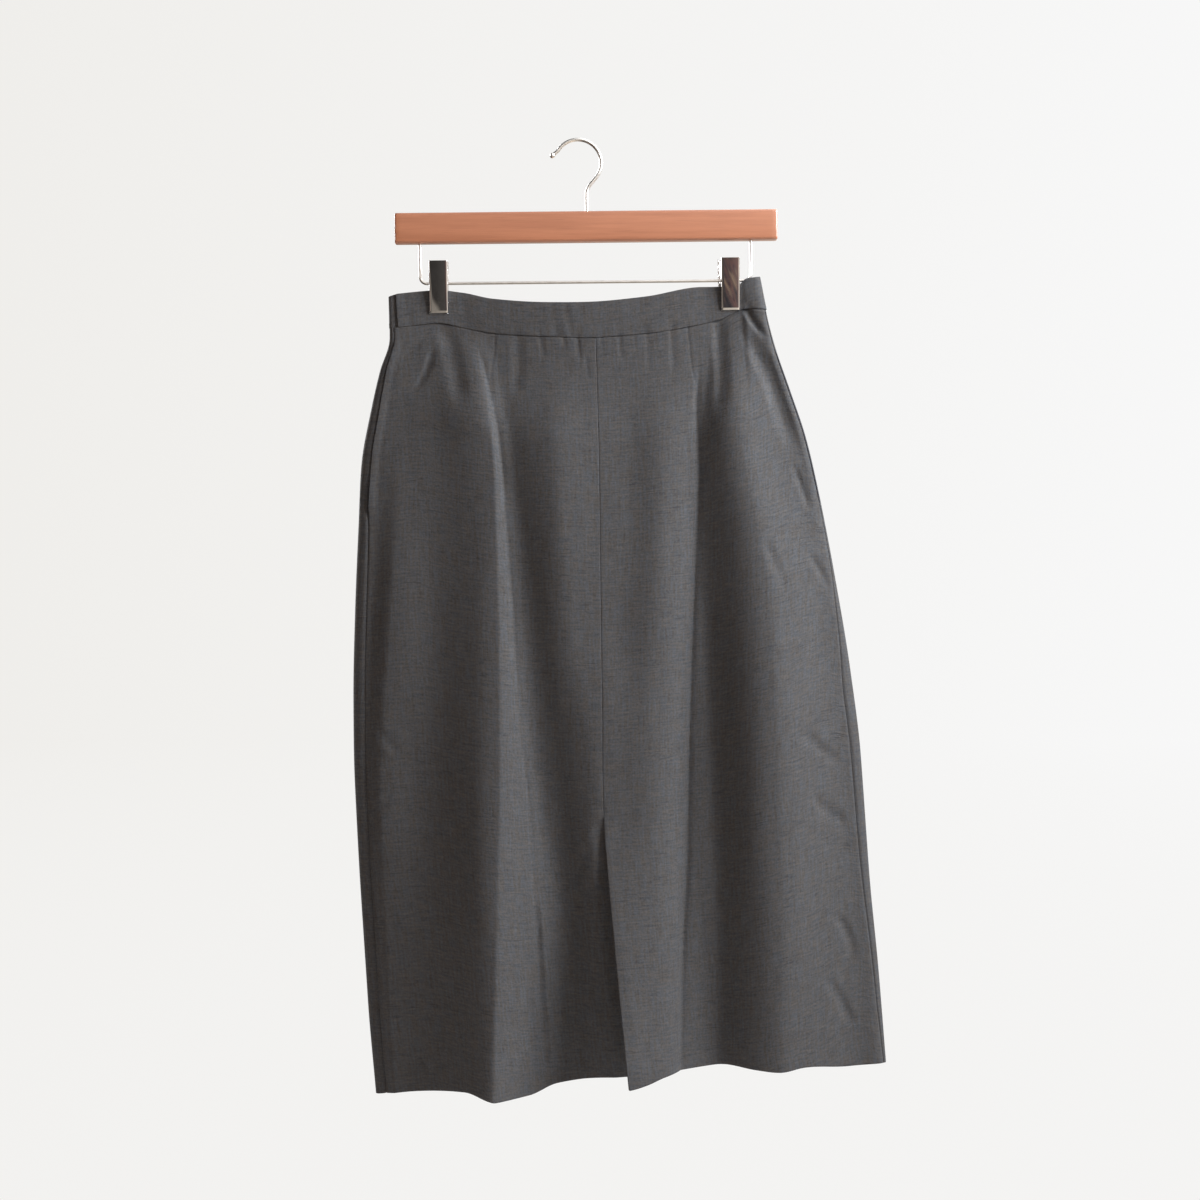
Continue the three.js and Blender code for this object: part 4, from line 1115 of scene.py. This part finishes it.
def frameWirePoints():
    end = bar["top"] - bar["height"] + wire["seat"]
    low, bend = wire["level"], wire["bend"]
    left, right = wire["left"], wire["right"]
    return joined(
        straight((left, 0, end), (left, 0, low + bend), 12),
        arc(left + bend, low + bend, bend, 180, 270, 14),
        straight((left + bend, 0, low), (right - bend, 0, low), 60),
        arc(right - bend, low + bend, bend, 270, 360, 14),
        straight((right, 0, low + bend), (right, 0, end), 12))


def hangerBar():
    # a rounded section carried along the bar, drawn in a little at each end
    corner = bar["corner"]
    y = bar["depth"] / 2
    z = bar["height"] / 2
    section = []
    for sideY, sideZ, start in ((1, 1, 0), (-1, 1, 90), (-1, -1, 180), (1, -1, 270)):
        for angle in np.radians(np.linspace(start, start + 90, 8)):
            section.append((sideY * (y - corner) + corner * math.cos(angle),
                            sideZ * (z - corner) + corner * math.sin(angle)))
    section = np.array(section)
    half = bar["length"] / 2
    end = bar["end"]
    rounded = ((0, 1), (0.19, 0.41), (0.6, 0.08), (1.3, 0))
    stations = [(-half + along * end, inset * end) for along, inset in rounded]
    stations += [(x, 0) for x in np.linspace(-half + 6, half - 6, 60)]
    stations += [(-x, inset) for x, inset in stations[3::-1]]
    rings = []
    for x, inset in stations:
        ring = section * np.array([(y - inset) / y, (z - inset) / z])
        along = np.full(len(ring), bar["centre"] + x)
        rings.append(np.column_stack([along, ring[:, 0], ring[:, 1] + bar["top"] - z]))
    shell = np.array(rings)
    faces = tubeFaces(len(shell), len(section))
    piece = meshPiece("hangerBar", onHanger(shell.reshape(-1, 3)), faces, wood)
    return roundEdges(piece, bar["arris"], 2, 40)


def jaw(name, x, facing):
    # a pressed plate with folded sides: a row for each height from the handle to the lip that bites
    corner = clip["corner"]
    half = clip["width"] / 2
    side = [(-half, clip["flange"])]
    side += [(-half, d) for d in np.linspace(clip["flange"] * 0.8, corner * 1.3, 3)]
    side += [(-half + corner * (1 - math.cos(a)), corner * (1 - math.sin(a)))
             for a in np.radians(np.linspace(0, 90, 8))]
    flat = [(p, 0.0) for p in np.linspace(-half + corner, half - corner, 12)[1:-1]]
    section = np.array(side + flat + [(-p, d) for p, d in side[::-1]])
    lean = math.radians(clip["lean"])
    foot = clip["top"] - clip["height"]
    rows = []
    rim = clip["height"] - np.array([0, 0.25, 0.6, 1.2])
    for height in np.concatenate([rim, np.linspace(clip["height"] - 3, 3.0, 20), [2.2, 1.6]]):
        depth = -clip["bite"] - clip["lip"] - height * math.sin(lean) + section[:, 1] * math.cos(lean)
        depth = depth - clip["crown"] * (1 - (section[:, 0] / half) ** 2)
        depth = depth - clip["bow"] * (1 - (2 * height / clip["height"] - 1) ** 2)
        z = foot + height * math.cos(lean) + section[:, 1] * math.sin(lean)
        depth = np.minimum(depth, -clip["bite"])
        rows.append(np.column_stack([section[:, 0] + x, depth, z]))
    for angle in np.radians([0, 22, 45, 67, 90]):
        depth = -clip["bite"] - clip["lip"] * math.cos(angle) + section[:, 1]
        depth = np.minimum(depth, -clip["bite"])
        z = foot + clip["lip"] * (1 - math.sin(angle)) + 0 * depth
        rows.append(np.column_stack([section[:, 0] + x, depth, z]))
    points = np.array(rows) * np.array([1, -facing, 1])
    faces = gridQuads(*points.shape[:2], facing).reshape(-1, 4)
    piece = meshPiece(name, onHanger(points.reshape(-1, 3)), faces, chrome)
    return thicken(piece, clip["plate"], 0.25, 2)


def spring(name, x):
    turns = coil["turns"]
    t = np.linspace(0, 1, turns * 22)
    angle = 2 * np.pi * turns * t + np.pi / 2
    along = x - coil["length"] / 2 + coil["length"] * t
    radius = coil["radius"]
    helix = np.stack([along, radius * np.cos(angle), wire["level"] + radius * np.sin(angle)], axis=-1)

    def leg(end, way, shares):
        reach = np.array([0, way, 0.2]) * coil["legOut"] + np.array([0, 0.25 * way, 1.0]) * coil["legUp"]
        return end + reach * shares[:, None]

    first = leg(helix[0], -1, np.linspace(1, 0, 8))
    last = leg(helix[-1], 1, np.linspace(0, 1, 8))
    points, faces = roundWire(joined(first, helix, last), coil["wire"], 10)
    return meshPiece(name, onHanger(points), faces, brightWire)


vertices, faces = roundWire(hookPoints(), hook["wire"], 24, hook["bead"])
finishPiece(meshPiece("hook", onHanger(vertices), faces, brightWire), "chrome", "hook")
vertices, faces = roundWire(frameWirePoints(), wire["radius"], 20)
finishPiece(meshPiece("frameWire", onHanger(vertices), faces, brightWire), "chrome", "frame_wire")
finishPiece(hangerBar(), "wood", "hanger_bar")
for hand in ("left", "right"):
    label = hand.capitalize()
    at = clipAt[hand]
    slip = clipAt["rightBackSlip"] if hand == "right" else 0.0
    finishPiece(jaw(f"clip{label}Front", at, -1), "chrome", f"clip_{hand}_front")
    finishPiece(jaw(f"clip{label}Back", at + slip, 1), "chrome", f"clip_{hand}_back")
    finishPiece(spring(f"clip{label}Spring", at), "chrome", f"clip_{hand}_spring")
print("hanger made")

# Stage

stage = {
    "eye": (0.02085, -2.0, -0.4269),
    "lens": 64.45,
    "sensor": 36,
    "farthest": 50,
    "floor": -1.45,
    "floorReach": 14,
    "backdropLeft": (0.865, 0.853, 0.828),
    "backdropRight": (0.935, 0.935, 0.935),
    "backdropSpread": 1.8,       # higher is a quicker change from left to right
    "backdropAway": 16,          # how far off the floor takes the backdrop to be
}
lamps = {
    # name: (place, aim, width, height, watts, colour)
    "window": ((1.35, -0.575, 0.50), (0.0, 0.0, -0.45), 0.8, 1.1, 73.0, (0.82, 0.89, 1.0)),
    "behind": ((-1.7, 1.25, 0.7), (0.0, 0.0, -0.45), 1.2, 1.4, 62.0, (0.95, 0.97, 1.0)),
    "room": ((-2.2, -1.6, 0.0), (0.0, 0.0, -0.5), 2.4, 2.0, 5.0, (1.0, 0.78, 0.64)),
}
# What polished metal mirrors: a pale room, brightest to the right, with a dark streaky patch straight
# ahead that ends in a slanted line a little below.
mirroredRoom = {
    "pale": [(0.36, (0.46, 0.41, 0.35)), (0.56, (0.72, 0.66, 0.61)), (1.0, (0.95, 0.95, 0.95))],
    "dark": (0.085, 0.078, 0.073),
    "streaks": [(0.36, (0.030, 0.028, 0.032)), (0.45, (0.055, 0.050, 0.052)), (0.51, (0.13, 0.075, 0.065)),
                (0.56, (0.045, 0.036, 0.045)), (0.64, (0.22, 0.155, 0.11))],
    "glow": [(0.20, 0.04), (0.42, 0.18), (0.56, 0.42), (0.76, 1.0), (0.95, 0.36)],
    "strength": 3.2,
    "patchFoot": (0.29, 0.63),   # its slope and its height
}
softLight = [(0.0, (0.052, 0.037, 0.031)), (0.5, (0.085, 0.063, 0.055)), (1.0, (0.21, 0.18, 0.17))]


def backdropColour(tree, place, spread):
    x = node(tree, "ShaderNodeSeparateXYZ", {0: place}).outputs["X"]
    across = compute(tree, "MULTIPLY_ADD", x, spread, 0.5)
    return ramp(tree, across, [(0.0, stage["backdropLeft"]), (1.0, stage["backdropRight"])])


def chosen(tree, ray, otherwise, when):
    # one look for rays of this kind and another for all the rest
    kind = node(tree, "ShaderNodeLightPath").outputs[ray]
    return node(tree, "ShaderNodeMixShader", {0: kind, 1: otherwise, 2: when}).outputs[0]


for name, (place, target, wide, high, watts, colour) in lamps.items():
    data = bpy.data.lights.new(name, "AREA")
    data.shape = "RECTANGLE"
    data.size = wide
    data.size_y = high
    data.energy = watts
    data.color = colour
    lamp = bpy.data.objects.new(name, data)
    lamp.location = place
    way = Vector(target) - lamp.location
    lamp.rotation_euler = way.to_track_quat("-Z", "Y").to_euler()
    bpy.context.scene.collection.objects.link(lamp)

cameraData = bpy.data.cameras.new("eye")
cameraData.lens = stage["lens"]
cameraData.sensor_width = stage["sensor"]
cameraData.clip_end = stage["farthest"]
camera = bpy.data.objects.new("eye", cameraData)
camera.location = stage["eye"]
camera.rotation_euler = (math.pi / 2, 0, 0)
bpy.context.scene.collection.objects.link(camera)
bpy.context.scene.camera = camera

# The floor is seen as the backdrop running on, with no line where it ends.
floorMaterial, floorTree, floorShader = newMaterial("paleFloor")
floorPlace = node(floorTree, "ShaderNodeTexCoord").outputs["Object"]
floorTone = noise(floorTree, floorPlace, (3, 3, 3), 3)
connect(floorTree, floorShader, {
    "Base Color": ramp(floorTree, floorTone, [(0.3, 0.845), (0.7, 0.86)]),
    "Roughness": 0.8,
})
floorSeen = backdropColour(floorTree, floorPlace, stage["backdropSpread"] / stage["backdropAway"])
even = node(floorTree, "ShaderNodeEmission", {"Color": floorSeen, "Strength": 1.0}).outputs[0]
floorOut = next(n for n in floorTree.nodes if n.type == "OUTPUT_MATERIAL")
connect(floorTree, floorOut, {0: chosen(floorTree, "Is Camera Ray", floorShader.outputs[0], even)})
low, far = stage["floor"], stage["floorReach"]
corners = [(-far, -far, low), (far, -far, low), (far, far, low), (-far, far, low)]
floorPiece = meshPiece("floor", corners, [(0, 1, 2, 3)], floorMaterial)
floorPiece.visible_glossy = False

world = bpy.data.worlds.new("paleRoom")
bpy.context.scene.world = world
world.use_nodes = True
sky = world.node_tree
sky.nodes.clear()


def background(colour, strength=1.0):
    return node(sky, "ShaderNodeBackground", {"Color": colour, "Strength": strength}).outputs[0]


way = node(sky, "ShaderNodeTexCoord").outputs["Generated"]
rightward, away, upward = node(sky, "ShaderNodeSeparateXYZ", {0: way}).outputs
rightShare = plus(sky, rightward, 0.5)
upShare = plus(sky, upward, 0.5)
ahead = ramp(sky, times(sky, away, -1.0), [(0.955, 0.0), (0.975, 1.0)])
top = ramp(sky, upShare, [(0.52, 1.0), (0.55, 0.0)])
slope, height = mirroredRoom["patchFoot"]
slant = plus(sky, times(sky, rightward, slope), height)
foot = ramp(sky, plus(sky, upward, slant), [(0.498, 0.0), (0.501, 1.0)])
patch = times(sky, ahead, times(sky, top, foot))
slanted = node(sky, "ShaderNodeMapping", {"Vector": way, "Rotation": (0.0, -0.32, 0.0)}).outputs["Vector"]
streaks = ramp(sky, noise(sky, slanted, (6, 1, 85), 2, 0.55), mirroredRoom["streaks"])
patchRight = ramp(sky, rightShare, [(0.47, 0.0), (0.50, 1.0)])
darkRoom = mixColour(sky, patchRight, mirroredRoom["dark"], streaks)
paleRoom = ramp(sky, upShare, mirroredRoom["pale"])
glow = times(sky, ramp(sky, rightShare, mirroredRoom["glow"]), mirroredRoom["strength"])
mirrored = background(mixColour(sky, patch, paleRoom, darkRoom), glow)
soft = background(ramp(sky, compute(sky, "MULTIPLY_ADD", upward, 0.5, 0.5), softLight))
backdrop = background(backdropColour(sky, way, stage["backdropSpread"]))
room = chosen(sky, "Is Glossy Ray", soft, mirrored)
node(sky, "ShaderNodeOutputWorld", {0: chosen(sky, "Is Camera Ray", room, backdrop)})
bpy.context.scene.view_settings.view_transform = "Standard"
print("stage set")
